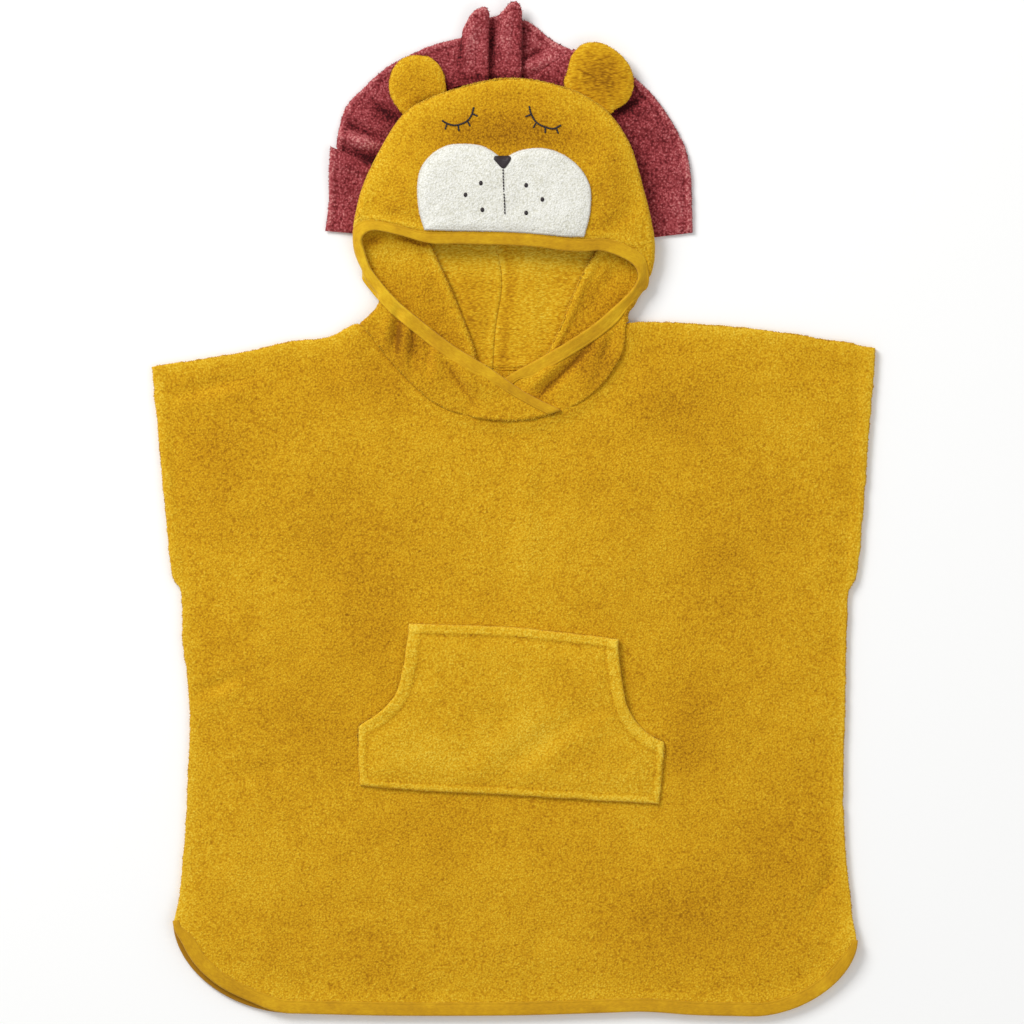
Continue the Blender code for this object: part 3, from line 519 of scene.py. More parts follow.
body = {
    "cell": 3.5,
    "backCell": 7.0,
    "frontFloor": 2.8,
    "hemPressed": 1.4,
    "hemMiddle": {"back": 1.8, "front": 5.7},
    "hemSettles": (11.5, 10.0),
    "cornerInset": {"back": 0.0, "front": 4.5},
    "insetRun": 140.0,
    "ventLeft": (-292.4, 82.0),
    "ventRight": (295.4, 65.3),
    "cornerLeft": (-190.0, 2.5),
    "cornerRight": (206.5, 0.0),
    "hemPoints": ((-100.0, 0.6), (0.0, 0.9), (72.0, 2.9), (113.0, 4.0), (155.0, 1.2)),
    "leftSide": (
        (-286.5, 104), (-283, 142), (-280.4, 182), (-277.8, 246), (-279.5, 288), (-283.8, 323),
        (-285.5, 364), (-294, 384), (-302, 470), (-310.4, 557.3),
    ),
    "rightSide": (
        (291, 84), (288.1, 109), (284.5, 150), (283, 205), (285, 300), (286, 345), (288, 365),
        (295.8, 386), (302.5, 470), (310.4, 573.6),
    ),
    "leftShoulder": (
        (-310.4, 557.3), (-266, 564), (-223, 572), (-188.5, 580), (-166, 581), (-151, 586), (-142, 590.8),
        (-134.2, 594.6),
    ),
    "rightShoulder": ((98.3, 595), (125, 596), (160, 594), (212, 589), (262, 582), (310.4, 573.6)),
    "frontNeck": (
        (-139.5, 592.5), (-126, 577), (-104, 552), (-71, 523), (-35, 510.5), (5, 508.5), (37, 515.5),
        (61, 527.5), (81, 546), (95.5, 571), (98.3, 595),
    ),
    "backNeck": (
        (-139.5, 592.5), (-98, 571.5), (-52, 558.5), (-15, 555.6), (22, 557.5), (62, 569), (98.3, 595),
    ),
    "swells": ((120.0, 1.5, 3), (58.0, 0.9, 11), (27.0, 0.35, 19)),  # size, height and seed
    "swellFade": 55.0,
    "neckEnds": (-134.0, 100.0),
    # creases that it was laid with: start, end, width and height
    "creases": (
        (-288, 534, -222, 549, 5, -2.2), (-286, 524, -230, 537, 7, 1.2),
        (-276, 276, -230, 294, 4.6, -2.4), (-272, 265, -234, 280, 6, 1.3),
        (-238, 206, -205, 212, 7, -1.3), (14, 492, 10, 355, 10, 1.2), (27, 480, 24, 370, 8, -0.7),
        (276, 128, 252, 86, 6, -2.2), (284, 300, 244, 322, 7, -1.4), (282, 250, 252, 262, 8, 1),
        (250, 556, 298, 548, 7, -1.2), (-150, 566, -118, 524, 9, 1.2), (105, 566, 130, 520, 9, 1.1),
        (-160, 470, -210, 392, 22, 1.2), (150, 470, 205, 400, 24, 1.1), (-170, 150, -120, 90, 20, 1),
        (120, 140, 190, 90, 22, 1),
    ),
    # patches painted darker and paler, partly as painted shade and light and partly as the pile's lie:
    # middle, widths and tone
    "tones": (
        (-250, 470, 40, 50, -0.35), (-150, 420, 60, 40, -0.25), (-120, 545, 60, 26, -0.45),
        (-120, 330, 26, 40, -0.45), (-170, 250, 60, 30, -0.3), (130, 520, 50, 30, -0.35),
        (170, 400, 46, 60, -0.3), (150, 250, 26, 60, -0.5), (230, 160, 40, 60, -0.35),
        (150, 90, 80, 40, -0.3), (-80, 160, 70, 24, -0.2), (0, 430, 60, 60, 0.25),
        (-210, 120, 50, 50, 0.2), (-10, 60, 90, 30, 0.1), (-235, 380, 30, 40, 0.25),
        (240, 500, 36, 34, 0.3), (190, 60, 130, 60, -0.14), (-190, 60, 120, 60, -0.1),
    ),
    # how the front stands off the back at the vents and beside the neck: x, y, width and lift
    "ventLifts": (
        (-286, 66, 30, 3.4), (-262, 34, 26, 2.6), (292, 60, 26, 2.2), (-132, 590, 20, 2.6),
        (96, 593, 18, 2.4),
    ),
    "sleeveHem": 11.0,
    "seamRidge": 1.3,
    "lapRidge": 2.0,  # where the hood's two ends cross on it
}


class HeightRaster:
    # the highest surface over the plan in cells of one size, read back by bilinear interpolation
    def __init__(self, grids, low, high, cell):
        self.low, self.cell = np.array(low), cell
        shape = tuple(int(math.ceil((b - a) / cell)) + 1 for a, b in zip(low, high))
        self.heights = np.full(shape, -1.0)
        for grid in grids:
            self.add(grid)
        self.fill()

    def add(self, grid, finer=3):
        # the grid is refined by bilinear steps, and each cell keeps its highest point
        steps = np.arange(finer) / finer
        s, t = steps[:, None, None, None, None], steps[None, :, None, None, None]
        a, b, c, d = grid[:-1, :-1], grid[1:, :-1], grid[:-1, 1:], grid[1:, 1:]
        dense = mix(mix(a, b, s), mix(c, d, s), t).reshape(-1, 3)
        index = np.round((dense[:, :2] - self.low) / self.cell).astype(int)
        inside = ((index >= 0) & (index < self.heights.shape)).all(axis=1)
        np.maximum.at(self.heights, tuple(index[inside].T), dense[inside, 2])

    def fill(self):
        # empty cells take their neighbours' mean, and all are softened a little
        for _ in range(6):
            empty = self.heights < 0
            padded = np.pad(self.heights, 1, constant_values=-1.0)
            near = np.stack([padded[1:-1, :-2], padded[1:-1, 2:], padded[:-2, 1:-1], padded[2:, 1:-1]])
            known = (near >= 0).sum(axis=0)
            mean = np.where(near >= 0, near, 0.0).sum(axis=0) / np.maximum(known, 1)
            self.heights = np.where(empty & (known > 0), mean, self.heights)
        for _ in range(3):
            padded = np.pad(self.heights, 1, mode="edge")
            near = padded[1:-1, :-2] + padded[1:-1, 2:] + padded[:-2, 1:-1] + padded[2:, 1:-1]
            self.heights = 0.5 * self.heights + 0.125 * near

    def at(self, x, y):
        a = np.clip((x - self.low[0]) / self.cell, 0, self.heights.shape[0] - 1.001)
        b = np.clip((y - self.low[1]) / self.cell, 0, self.heights.shape[1] - 1.001)
        i, j = np.floor(a).astype(int), np.floor(b).astype(int)
        s, t = a - i, b - j
        low = mix(self.heights[i, j], self.heights[i + 1, j], s)
        return mix(low, mix(self.heights[i, j + 1], self.heights[i + 1, j + 1], s), t)


# The hood's sections and folds.

hood = {
    "wall": 3.2,
    "pastTape": 10.8,  # the distance in from the edge at which the cloth leaves its binding
    "openingTop": 668.0,
    "perSpan": 10,
    "steps": 60,
    "topColumns": 58,
    "rollColumns": 9,
    "underColumns": 38,
    "tapeReaches": (0.0, 1.4, 2.8, 4.2, 5.6, 7.0, 8.2, 9.4, 10.5, 12.0),
    "browPuff": 5.0,
    "puffFrom": 30.0,
    "puffRun": 80.0,
    "neckRows": 4,
    "lapHeight": 8.8,
    "lowestTape": 4.5,
    "lapX": (-46.0, 16.0),
    "lapY": (582.0, 30.0),
    "columns": ("edgeX", "edgeY", "edgeZ", "foldX", "foldY", "foldZ", "seamX", "seamY", "seamZ"),
    # a row for each section, from the left neck end over the brow to the right one
    "rows": (
        (40, 519.6, 4.6, -131, 593.6, 8, -31, 558, 4.2),
        (8.6, 535.4, 9.4, -123.6, 600, 9.2, -33, 571, 4.2),
        (-22.8, 556.5, 11, -117, 607, 10, -37.4, 584, 4.2),
        (-54.5, 576.2, 12.8, -114, 613.4, 10.5, -43.4, 599.4, 4.2),
        (-91.5, 605.4, 13.4, -114, 619.5, 11, -51.1, 618.3, 4.2),
        (-103, 616, 13, -115.2, 623.4, 11, -54.5, 626, 4.2),
        (-113.5, 628, 12.4, -119.4, 630.2, 11, -59, 636, 4.2),
        (-123, 641, 12.4, -128.6, 641, 11, -64, 647, 4.2), (-128, 655, 13, -135, 656, 12, -68, 657, 5),
        (-130.6, 667.6, 15.5, -136.4, 670, 14, -74, 666, 7.4),
        (-121, 674.6, 18, -134.5, 686, 16, -84, 680, 9.2),
        (-98, 670.6, 19, -128, 711, 16.6, -96, 704, 10),
        (-71.7, 663.8, 19, -115.5, 738, 16.8, -99.2, 735, 10.2),
        (-47.7, 663.4, 19, -91, 775, 16.6, -84, 768, 10),
        (-24.5, 662.9, 19, -52.6, 793.2, 17, -49.5, 787.5, 10.6),
        (-0.4, 662.1, 19, -7.3, 803.4, 17, -7.3, 798, 10.6),
        (23.6, 660.4, 19, 37.2, 797.6, 17, 34, 792.6, 10.6),
        (44.2, 657.4, 18.6, 74, 779.6, 16.6, 67.4, 773, 10.6),
        (60.5, 656.9, 18.2, 97.5, 749.7, 16.6, 83.7, 746.2, 10),
        (75, 657.5, 18, 109.5, 711, 16.4, 84.6, 704.2, 9.6),
        (91, 652.6, 17.5, 117.2, 680, 16, 80, 676, 9), (103.5, 645, 15.5, 119.6, 661, 14, 73, 660, 6.2),
        (107.5, 635, 14, 117.6, 641, 12, 65, 647.5, 4.4),
        (103.5, 625, 13.4, 110.5, 625, 11.2, 56.5, 632, 4.2),
        (91.5, 612.3, 12.8, 103, 612, 10.6, 49.4, 614.8, 4.2),
        (70, 593.4, 11.2, 98, 605, 10.2, 42.5, 597, 4.2),
        (46.8, 577.9, 9.8, 97, 601, 9.8, 36.5, 584, 4.2),
        (23.6, 564.2, 8.4, 97, 598.5, 9.4, 31, 573, 4.2), (-13, 541.6, 5.8, 97.3, 597, 9, 27.5, 565, 4.2),
        (-22, 511.6, 4.6, 97.8, 595.8, 8.6, 24, 558.5, 4.2),
    ),
    # folds in the cheeks: start, end, width and height
    "topCreases": (
        (-98, 612, -105, 560, 4.4, -4.6), (-104.5, 606, -113, 570, 4, 2.4),
        (-91, 600, -93.5, 556, 3.4, 2.4), (-87, 597, -88, 550, 3.2, -3.2),
        (-79.4, 588, -84, 546, 3.4, -2.6), (-72, 582, -76, 546, 3.2, -2.4),
        (-66, 580, -66, 544, 3.4, 1.4), (-47.7, 560, -21.9, 524.7, 4.6, 2.6),
        (-59, 562, -33, 524, 3.8, -2.2), (17, 527, 68, 577, 4.6, -4.6), (4, 530, 40, 562, 4, 2.4),
        (86, 590, 76, 550, 5, -2.6), (74, 560, 60, 536, 5, 1.6), (-118, 690, -76, 682, 7, -1.2),
        (104, 692, 78, 676, 7, -1.3), (60, 752, 92, 716, 12, 1.2),
    ),
    "underCreases": (
        (-104, 650, -70, 600, 8, -1.6), (-92, 664, -62, 618, 7, 1.4), (92, 640, 62, 604, 7, -1.4),
        (84, 652, 70, 632, 5, 1.2),
    ),
}


def nearestPart(line, start, end):
    # the stretch of a line between the points nearest to start and end, in that direction
    first = int(np.argmin(np.linalg.norm(line - start, axis=1)))
    last = int(np.argmin(np.linalg.norm(line - end, axis=1)))
    return line[first : last + 1] if first < last else line[last : first + 1][::-1]


def neckBend(starts, ends, shares, weights, neck):
    # how far each section near the neck bends from straight towards the neckline's own curve
    bend = np.zeros((len(starts), len(shares), 2))
    for i in np.flatnonzero(weights > 0):
        follow = alongLine(nearestPart(neck, starts[i], ends[i]), shares)
        chord = follow[0] + (follow[-1] - follow[0]) * shares[:, None]
        bend[i] = weights[i] * (follow - chord)
    return bend


def hoodFrontGrid():
    # the front's middle surface: sections from the bound edge over the brow, round the roll and under to
    # the back seam. Columns keep fixed distances within the binding and then share out the rest
    table = throughPoints(hood["rows"], hood["perSpan"])
    row = dict(zip(hood["columns"], table.T))
    count, half = len(table), len(table) // 2
    edge, fold, seam = (np.stack([row[k + "X"], row[k + "Y"]], axis=1) for k in ("edge", "fold", "seam"))
    outward = leftOf(fold)
    radius = (row["foldZ"] - row["seamZ"]) / 2
    middleZ = (row["foldZ"] + row["seamZ"]) / 2
    turn = fold - outward * radius[:, None]
    fromEnd = toEnds(np.arange(count))
    neckSpan = hood["neckRows"] * hood["perSpan"]
    weights = (1.0 - smoothStep(fromEnd / neckSpan)) ** 1.5
    shares = np.linspace(0.0, 1.0, hood["steps"])
    across = shares[None, :, None]

    frontNeck, backNeck = throughPoints(body["frontNeck"], 20), throughPoints(body["backNeck"], 20)
    plan = edge[:, None] + (turn - edge)[:, None] * across
    plan = plan + neckBend(edge, turn, shares, weights, frontNeck)
    length = np.linalg.norm(turn - edge, axis=1)
    puff = hood["browPuff"] * smoothStep((length - hood["puffFrom"]) / hood["puffRun"])
    puff = puff * smoothStep(fromEnd / neckSpan - 1.0)
    height = row["edgeZ"][:, None] + (row["foldZ"] - row["edgeZ"])[:, None] * smoothStep(shares)
    height = height + puff[:, None] * np.sin(math.pi * shares) ** 0.8
    lap = smoothStep((plan[:, :, 0] - hood["lapX"][0]) / hood["lapX"][1])
    lap = lap * smoothStep((hood["lapY"][0] - plan[:, :, 1]) / hood["lapY"][1])
    lap[half:] = 0.0
    height = np.maximum(height, hood["lapHeight"] * lap)
    top = np.dstack([plan, height])

    angles = np.linspace(math.pi / 2, -math.pi / 2, 22)[1:-1]
    reach = radius[:, None] * np.cos(angles)
    rise = middleZ[:, None] + radius[:, None] * np.sin(angles)
    roll = np.dstack([turn[:, None] + outward[:, None] * reach[:, :, None], rise])
    plan = turn[:, None] + (seam - turn)[:, None] * across
    plan = plan + neckBend(turn, seam, shares, weights, backNeck)
    under = np.dstack([plan, np.broadcast_to(row["seamZ"][:, None], plan.shape[:2])])

    lines = np.concatenate([top, roll, under], axis=1)
    steps = np.linalg.norm(np.diff(lines, axis=1), axis=2)
    reached = np.concatenate([np.zeros((count, 1)), np.cumsum(steps, axis=1)], axis=1)
    tapeEnd = hood["tapeReaches"][-1]
    grid, reaches = [], []
    for line, run in zip(lines, reached):
        start = max(run[top.shape[1] - 1], tapeEnd + 2.0)
        end = max(run[top.shape[1] + roll.shape[1]], start + 2.0)
        wanted = np.concatenate(
            [
                hood["tapeReaches"], np.linspace(tapeEnd, start, hood["topColumns"] + 1)[1:],
                np.linspace(start, end, hood["rollColumns"] + 1)[1:],
                np.linspace(end, run[-1], hood["underColumns"] + 1)[1:],
            ],
        )
        grid.append(np.stack([np.interp(wanted, run, line[:, k]) for k in range(3)], axis=1))
        reaches.append(wanted)
    return np.array(grid), np.array(reaches)


def foldedHoodGrid():
    # the middle surface with the cheeks' and wings' own folds in it
    grid, reaches = hoodFrontGrid()
    x, y = grid[:, :, 0], grid[:, :, 1]
    firstUnder = len(hood["tapeReaches"]) + hood["topColumns"] + hood["rollColumns"] // 2
    isTop = np.arange(grid.shape[1])[None, :] < firstUnder
    pastTape = smoothStep((reaches - 9.0) / 12.0)
    fromTurn = smoothStep(np.abs(np.arange(grid.shape[1]) - firstUnder)[None, :] / 8.0)
    folds = np.where(
        isTop, creaseHeight(x, y, hood["topCreases"]), creaseHeight(x, y, hood["underCreases"]),
    )
    soft = np.where(isTop, 0.55, 0.3) * mottle(x, y, 26.0, 77) + 0.3 * mottle(x, y, 13.0, 79)
    ends = smoothStep(toEnds(np.arange(len(grid))) / 14.0)[:, None]
    grid[:, :, 2] += (folds + soft) * pastTape * fromTurn * ends
    # the wings' sewn ends stand up over the hood's back in a soft roll
    fromSeam = reaches[:, -1:] - reaches
    grid[:, :, 2] += np.where(isTop, 0.0, 2.2 * bell(fromSeam, 4.0, 4.5) * ends)
    return grid, reaches


def squareToEdge():
    # the plan direction square to the bound edge at each section, and how far the section keeps to it
    edge = hoodGrid[:, 0, :2]
    start = unit(hoodGrid[:, 3, :2] - edge)
    square = leftOf(edge)
    square *= np.sign((square * start).sum(axis=1).mean())
    kept = smoothStep(((square * start).sum(axis=1) - 0.3) / 0.4)
    return square, kept


def hoodNeckline():
    # the lower of the hood's two crossing ends, from the left shoulder to the right one
    ends = [hoodGrid[k, : hood["topEnd"], :2] for k in (0, -1)]
    left, right = ends[0][::-1], ends[1]
    across = np.linspace(right[0, 0], left[-1, 0], 40)
    low = [np.interp(across, line[:, 0], line[:, 1]) for line in (left, right)]
    crossing = np.column_stack([across, np.minimum(*low)])
    line = np.vstack([left[left[:, 0] < across[0]], crossing, right[right[:, 0] > across[-1]]])
    line = everyFew(line, 4.0)
    line[1:-1] = 0.25 * line[:-2] + 0.5 * line[1:-1] + 0.25 * line[2:]
    return everyFew(line, 1.5)


hood["topEnd"] = len(hood["tapeReaches"]) + hood["topColumns"]
hoodGrid, hoodReaches = foldedHoodGrid()
hoodNormals = gridNormals(hoodGrid)
topSign = float(np.sign(hoodNormals[:, 2 : hood["topEnd"], 2].mean()))
edgeSquare, edgeKept = squareToEdge()
neckFront = hoodNeckline() + (0.0, 0.1)
# the body's sewn edge runs on a little under the hood
neckUnder = neckFront + leftOf(neckFront) * 2.4
halves = (slice(0, len(hoodGrid) // 2), slice(len(hoodGrid) // 2, None))
hoodCorners = (-145.0, 500.0), (130.0, 815.0)
hoodTops = [HeightRaster([hoodGrid[part, : hood["topEnd"]]], *hoodCorners, 1.0) for part in halves]


# The body and its hem's tape.


def roundedCorner(side, foot, power, steps):
    # a quarter superellipse: across by 1 - cos^(2/p), down by sin^(2/p)
    angles = np.linspace(0.0, math.pi / 2, steps, endpoint=False)
    across = 1.0 - np.cos(angles) ** (2.0 / power)
    down = np.sin(angles) ** (2.0 / power)
    return np.stack(
        [side[0] + (foot[0] - side[0]) * across, side[1] + (foot[1] - side[1]) * down], axis=1,
    )


def hemEdge(side):
    # the cloth's own edge along the hem, from the left vent to the right one, inside its binding
    left = roundedCorner(body["ventLeft"], body["cornerLeft"], 1.9, 27)
    right = roundedCorner(body["ventRight"], body["cornerRight"], 1.8, 24)[::-1]
    middle = throughPoints((body["cornerLeft"], *body["hemPoints"], body["cornerRight"]), 12)
    hem = np.vstack([left, middle, right])
    travelled = lineLengths(hem)
    drawn = smoothStep(travelled / 24.0) * smoothStep((body["insetRun"] - travelled) / 45.0)
    inset = 1.1 + body["cornerInset"][side] * drawn
    return everyFew(hem + mitredLeft(hem) * inset[:, None], 2.0)


def roughLine(line, seed, strength=1.0):
    # the line moved sideways by small noise along its length, as loops stand out of a cut or folded edge
    reached = lineLengths(line)
    flat = 0.0 * reached
    shift = 0.45 * mottle(reached, flat, 3.4, seed) + 0.55 * mottle(reached, 5.0 + flat, 15.0, seed)
    shift *= strength * smoothStep(toEnds(reached) / 6.0)
    return line + leftOf(line) * shift[:, None]


def bodySides(side):
    # a panel's hem, top line, left side and right side
    hem = hemEdge(side)
    left = throughPoints((hem[0], *body["leftSide"]), 12)
    right = throughPoints((hem[-1], *body["rightSide"]), 12)
    neck = neckUnder if side == "front" else throughPoints(body["backNeck"], 14)
    shoulders = [throughPoints(body[key], 10) for key in ("leftShoulder", "rightShoulder")]
    shoulders = [roughLine(everyFew(line, 1.5), 31 + k) for k, line in enumerate(shoulders)]
    top = np.vstack([shoulders[0], neck[1:-1], shoulders[1]])
    return hem, top, roughLine(everyFew(left, 1.5), 41), roughLine(everyFew(right, 1.5), 43)


hemFront, topFront, leftFront, rightFront = bodySides("front")
bodyRound = np.vstack([hemFront, rightFront, topFront[::-1], leftFront[::-1]])[::6]


def ventLift(x, y):
    # the sum of lift * exp(-(distance / width)^2) about each vent's corner
    total = np.zeros(np.shape(x))
    for middleX, middleY, width, lift in body["ventLifts"]:
        total += lift * np.exp(-((x - middleX) ** 2 + (y - middleY) ** 2) / width**2)
    return total


def bodyTop(x, y):
    # the front panel's top: its floor and wall, soft swells and creases that die out at the edges
    fade = smoothStep(distanceTo(x, y, bodyRound) / body["swellFade"])
    lift = np.zeros(np.shape(x))
    for size, height, seed in body["swells"]:
        lift += height * (0.6 + 0.8 * mottle(x, y, size, seed))
    height = body["seamRidge"] + body["lapRidge"] * bell(x, 48.0, 6.0)
    ridge = height * bell(distanceTo(x, y, neckFront), 6.0, 1.5)
    creases = creaseHeight(x, y, body["creases"]) * smoothStep(distanceTo(x, y, bodyRound) / 12.0)
    return body["frontFloor"] + cloth["wall"] + np.maximum(lift, 0.0) * fade + creases + ridge


def bodyPanel(side):
    # a Coons patch between the four sides, raised and pressed thin where the hem's binding holds it
    hem, top, left, right = bodySides(side)
    isFront = side == "front"
    plan, u, v = coonsPatch(hem, top, left, right, body["cell" if isFront else "backCell"])
    x, y = plan[:, :, 0], plan[:, :, 1]
    start, run = body["hemSettles"]
    settled = smoothStep((distanceTo(x, y, hem) - start) / run)
    floor = body["frontFloor"] if isFront else 0.0
    flatTop = bodyTop(x, y) if isFront else np.full(x.shape, cloth["wall"])
    flatUnder = np.full(x.shape, floor)
    hemMiddle, pressed = body["hemMiddle"][side], body["hemPressed"]
    upper = hemMiddle + pressed / 2 + (flatTop - hemMiddle - pressed / 2) * settled
    lower = hemMiddle - pressed / 2 + (flatUnder - hemMiddle + pressed / 2) * settled
    if isFront:
        lift = ventLift(x, y)
        upper, lower = upper + lift, lower + lift
        sleeve = np.minimum(distanceTo(x, y, left), distanceTo(x, y, right))
        onSleeve = smoothStep((y - 380.0) / 12.0)
        upper = upper - 0.8 * onSleeve * bell(sleeve, 1.3, body["sleeveHem"])
        upper = upper + 0.5 * onSleeve * smoothStep((body["sleeveHem"] - sleeve) / 2.0)
    upper = upper + terryLumps(x, y, 5) * settled
    rim = np.minimum(u, 1.0 - u)[None, :] * lineLengths(hem)[-1]
    rim = roundedEdge(np.minimum(rim, (1.0 - v)[:, None] * lineLengths(left)[-1]), 2.6)
    neck = neckFront if isFront else throughPoints(body["backNeck"], 14)
    atNeck = smoothStep((5.0 - distanceTo(x, y, neck)) / 2.0)
    rim = np.maximum(rim, 0.88 * atNeck)
    edges = np.minimum.reduce([distanceTo(x, y, line[::3]) for line in (left, right, top)])
    # painted light along the sides and shoulders and towards the hem, on top of the listed patches
    tone = patchTone(x, y, body["tones"]) * settled + 0.55 * bell(edges, 9.0) * (1.0 - atNeck)
    tone = tone + 0.35 * bell(distanceTo(x, y, hem), 26.0)
    middle = (upper + lower) / 2
    upper, lower = middle + (upper - middle) * rim, middle + (lower - middle) * rim
    name = "body" + side.capitalize()
    piece = makeShell(
        name, np.dstack([plan, upper]), np.dstack([plan, lower]), terryMustard, tone=tone,
        replaces=["body_" + side],
    )
    return piece


tape = {
    "cover": 10.5,
    "thick": 0.8,
    "pressed": 1.4,
    "gap": 0.3,
    "stitchReach": 8.6,
    "stitchDepth": 0.4,
    "step": 3.2,
    "narrowing": 26.0,  # run over which the hem's tape goes into the side seam
    "shade": (-262.0, 24.0, 55.0, 60.0, -2.2),  # the back's tape under the front's corner
}


def tapeProfile():
    # the binding's outer and inner lines as (distance in from the cloth's edge, height from its middle):
    # a lip above, half an ellipse round the edge, and a lip below
    inside = tape["pressed"] / 2 + tape["gap"]
    outside = inside + tape["thick"]
    reaches = np.array((10.5, 10.35, 9.9, 9.2, 8.6, 8.0, 7.0, 5.4, 3.6, 1.8, 0.6))
    groove = tape["stitchDepth"] * bell(reaches, 0.7, tape["stitchReach"])
    lipEnd = 0.55 * np.exp(-((tape["cover"] - reaches) / 0.35))
    height = outside - groove - lipEnd
    angles = np.linspace(math.pi / 2, -math.pi / 2, 9)[1:-1]
    turn = np.stack([-(tape["gap"] + tape["thick"]) * np.cos(angles), outside * np.sin(angles)], axis=1)
    top = np.stack([reaches, height], axis=1)
    outer = np.vstack([top, turn, top[::-1] * (1.0, -1.0)])
    innerTop = np.stack([np.maximum(reaches, 0.0), np.full(len(reaches), inside)], axis=1)
    turnIn = np.stack([-tape["gap"] * np.cos(angles), inside * np.sin(angles)], axis=1)
    inner = np.vstack([innerTop, turnIn, innerTop[::-1] * (1.0, -1.0)])
    return outer, inner


def hemBinding(side):
    # the tape's profile carried along the hem
    hem = everyFew(hemEdge(side), tape["step"])
    inwards = leftOf(hem)
    reached = lineLengths(hem)
    flat = 0.0 * reached
    wave = 0.25 * mottle(reached, flat, 23.0, 51) + 0.12 * mottle(reached, flat, 6.0, 53)
    cover = 0.4 + 0.6 * smoothStep(toEnds(reached) / tape["narrowing"])
    grids = []
    for profile in tapeProfile():
        reach = profile[None, :, 0] * (1.0 + 0.04 * wave[:, None])
        reach = np.where(reach > 0, reach * cover[:, None], reach)
        plan = hem[:, None] + inwards[:, None] * reach[:, :, None]
        height = body["hemMiddle"][side] + profile[None, :, 1] * (1.0 + 0.15 * wave[:, None])
        if side == "front":
            height = height + ventLift(plan[:, :, 0], plan[:, :, 1])
        grids.append(np.dstack([plan, height]))
    across = lineLengths(tapeProfile()[0])
    uv = np.dstack(np.meshgrid(across, reached))
    shaded = patchTone(grids[0][:, :, 0], grids[0][:, :, 1], [tape["shade"]])
    piece = makeShell(
        "hemBinding" + side.capitalize(), grids[0], grids[1], tapeMustard, uv=uv,
        tone=shaded if side == "back" else 0.0 * shaded, replaces=["hem_binding_" + side],
    )
    return piece


bodyPanel("back")
bodyPanel("front")
hemBinding("back")
hemBinding("front")
print("body made")


# Stitches.


def ringsRound(places, side, up, around, size):
    # a ring of points about each place, in the plane of two unit steps
    angles = np.linspace(0.0, 2.0 * math.pi, around, endpoint=False)
    ring = side[:, :, None] * np.cos(angles)[:, None] + up[:, :, None] * np.sin(angles)[:, None]
    return places[:, :, None] + ring * size


def stitchRow(line, length, gap, radius):
    # one short spindle for each stitch: rings of radius r*sqrt(sin(pi s)) along its stretch of the line
    total = lineLengths(line)[-1]
    count = int(total // (length + gap))
    starts = np.arange(count) * (length + gap) / total
    share = np.linspace(0.06, 0.94, 5)
    places = alongLine(line, (starts[:, None] + share[None] * length / total).ravel())
    places = places.reshape(count, 5, 3)
    along = unit(places[:, -1:] - places[:, :1])
    side = unit(np.cross(along, (0.0, 0.0, 1.0)))
    size = radius * np.sqrt(np.sin(math.pi * share))[None, :, None, None]
    return ringsRound(places, side, np.cross(side, along), 6, size)


def makeSpindles(name, rings, stuff):
    # many short closed tubes in one mesh, from an array of (tube, section, around, xyz)
    tubes, count, around = rings.shape[:3]
    sides = tubeSides(count, around)
    ring = np.arange(around)
    caps = np.stack([ring[::-1], (count - 1) * around + ring])
    offsets = (np.arange(tubes) * count * around)[:, None, None]
    faces = [
        (sides.reshape(1, -1, 4) + offsets).reshape(-1, 4), (caps[None] + offsets).reshape(-1, around),
    ]
    return makeMesh(name, rings.reshape(-1, 3), faces, stuff)


# The pocket.

pocket = {
    "cell": 1.5,
    # each hem's reach, the height of its bead and the depth of its stitched groove
    "hems": {"mouth": (11.2, 0.7, 1.0), "plain": (6.4, 0.8, 1.1), "top": (8.6, 1.6, 1.3)},
    "tones": (
        (-60, 225, 40, 20, 0.5), (20, 240, 30, 18, 0.35), (-20, 300, 60, 26, 0.1),
        (40, 290, 24, 20, -0.3), (60, 222, 26, 12, -0.35),
    ),
    "mouthLift": 2.4,  # how far the slanted edges stand off the body
    "bottom": ((-131.8, 198.4), (-80.0, 194.0), (-15.0, 190.6), (60.0, 186.0), (124.9, 182.4)),
    "right": (
        (124.9, 182.4), (127.5, 208), (129, 235), (113.6, 244.1), (100, 261.4), (93.5, 284.4),
        (90.3, 317), (90.3, 323.6),
    ),
    "top": ((-89.7, 337.1), (-50.0, 336.0), (-3.3, 334.2), (40.0, 330.0), (90.3, 323.6)),
    "left": (
        (-131.8, 198.4), (-132.7, 225), (-133.5, 249), (-114.6, 261.4), (-101.1, 276.8), (-94.4, 299.7),
        (-91, 325), (-89.7, 337.1),
    ),
    "creases": (
        (-45, 204, 34, 266, 12, 1.3), (-20, 206, 62, 262, 9, -1), (10, 206, 88, 258, 9, 0.9),
        (58, 300, 92, 250, 10, 1.4), (52, 292, 84, 244, 7, -1.2), (-96, 262, -56, 215, 12, 1),
    ),
}


def sideLine(points, corner, seed):
    # a pocket's side: straight and curved stretches on each side of its corner, roughened by the pile
    spans = [points[: corner + 1], points[corner:]]
    line = np.vstack([throughPoints(spans[0], 8)[:-1], throughPoints(spans[1], 8)])
    return roughLine(everyFew(line, 1.2), seed, 0.7)


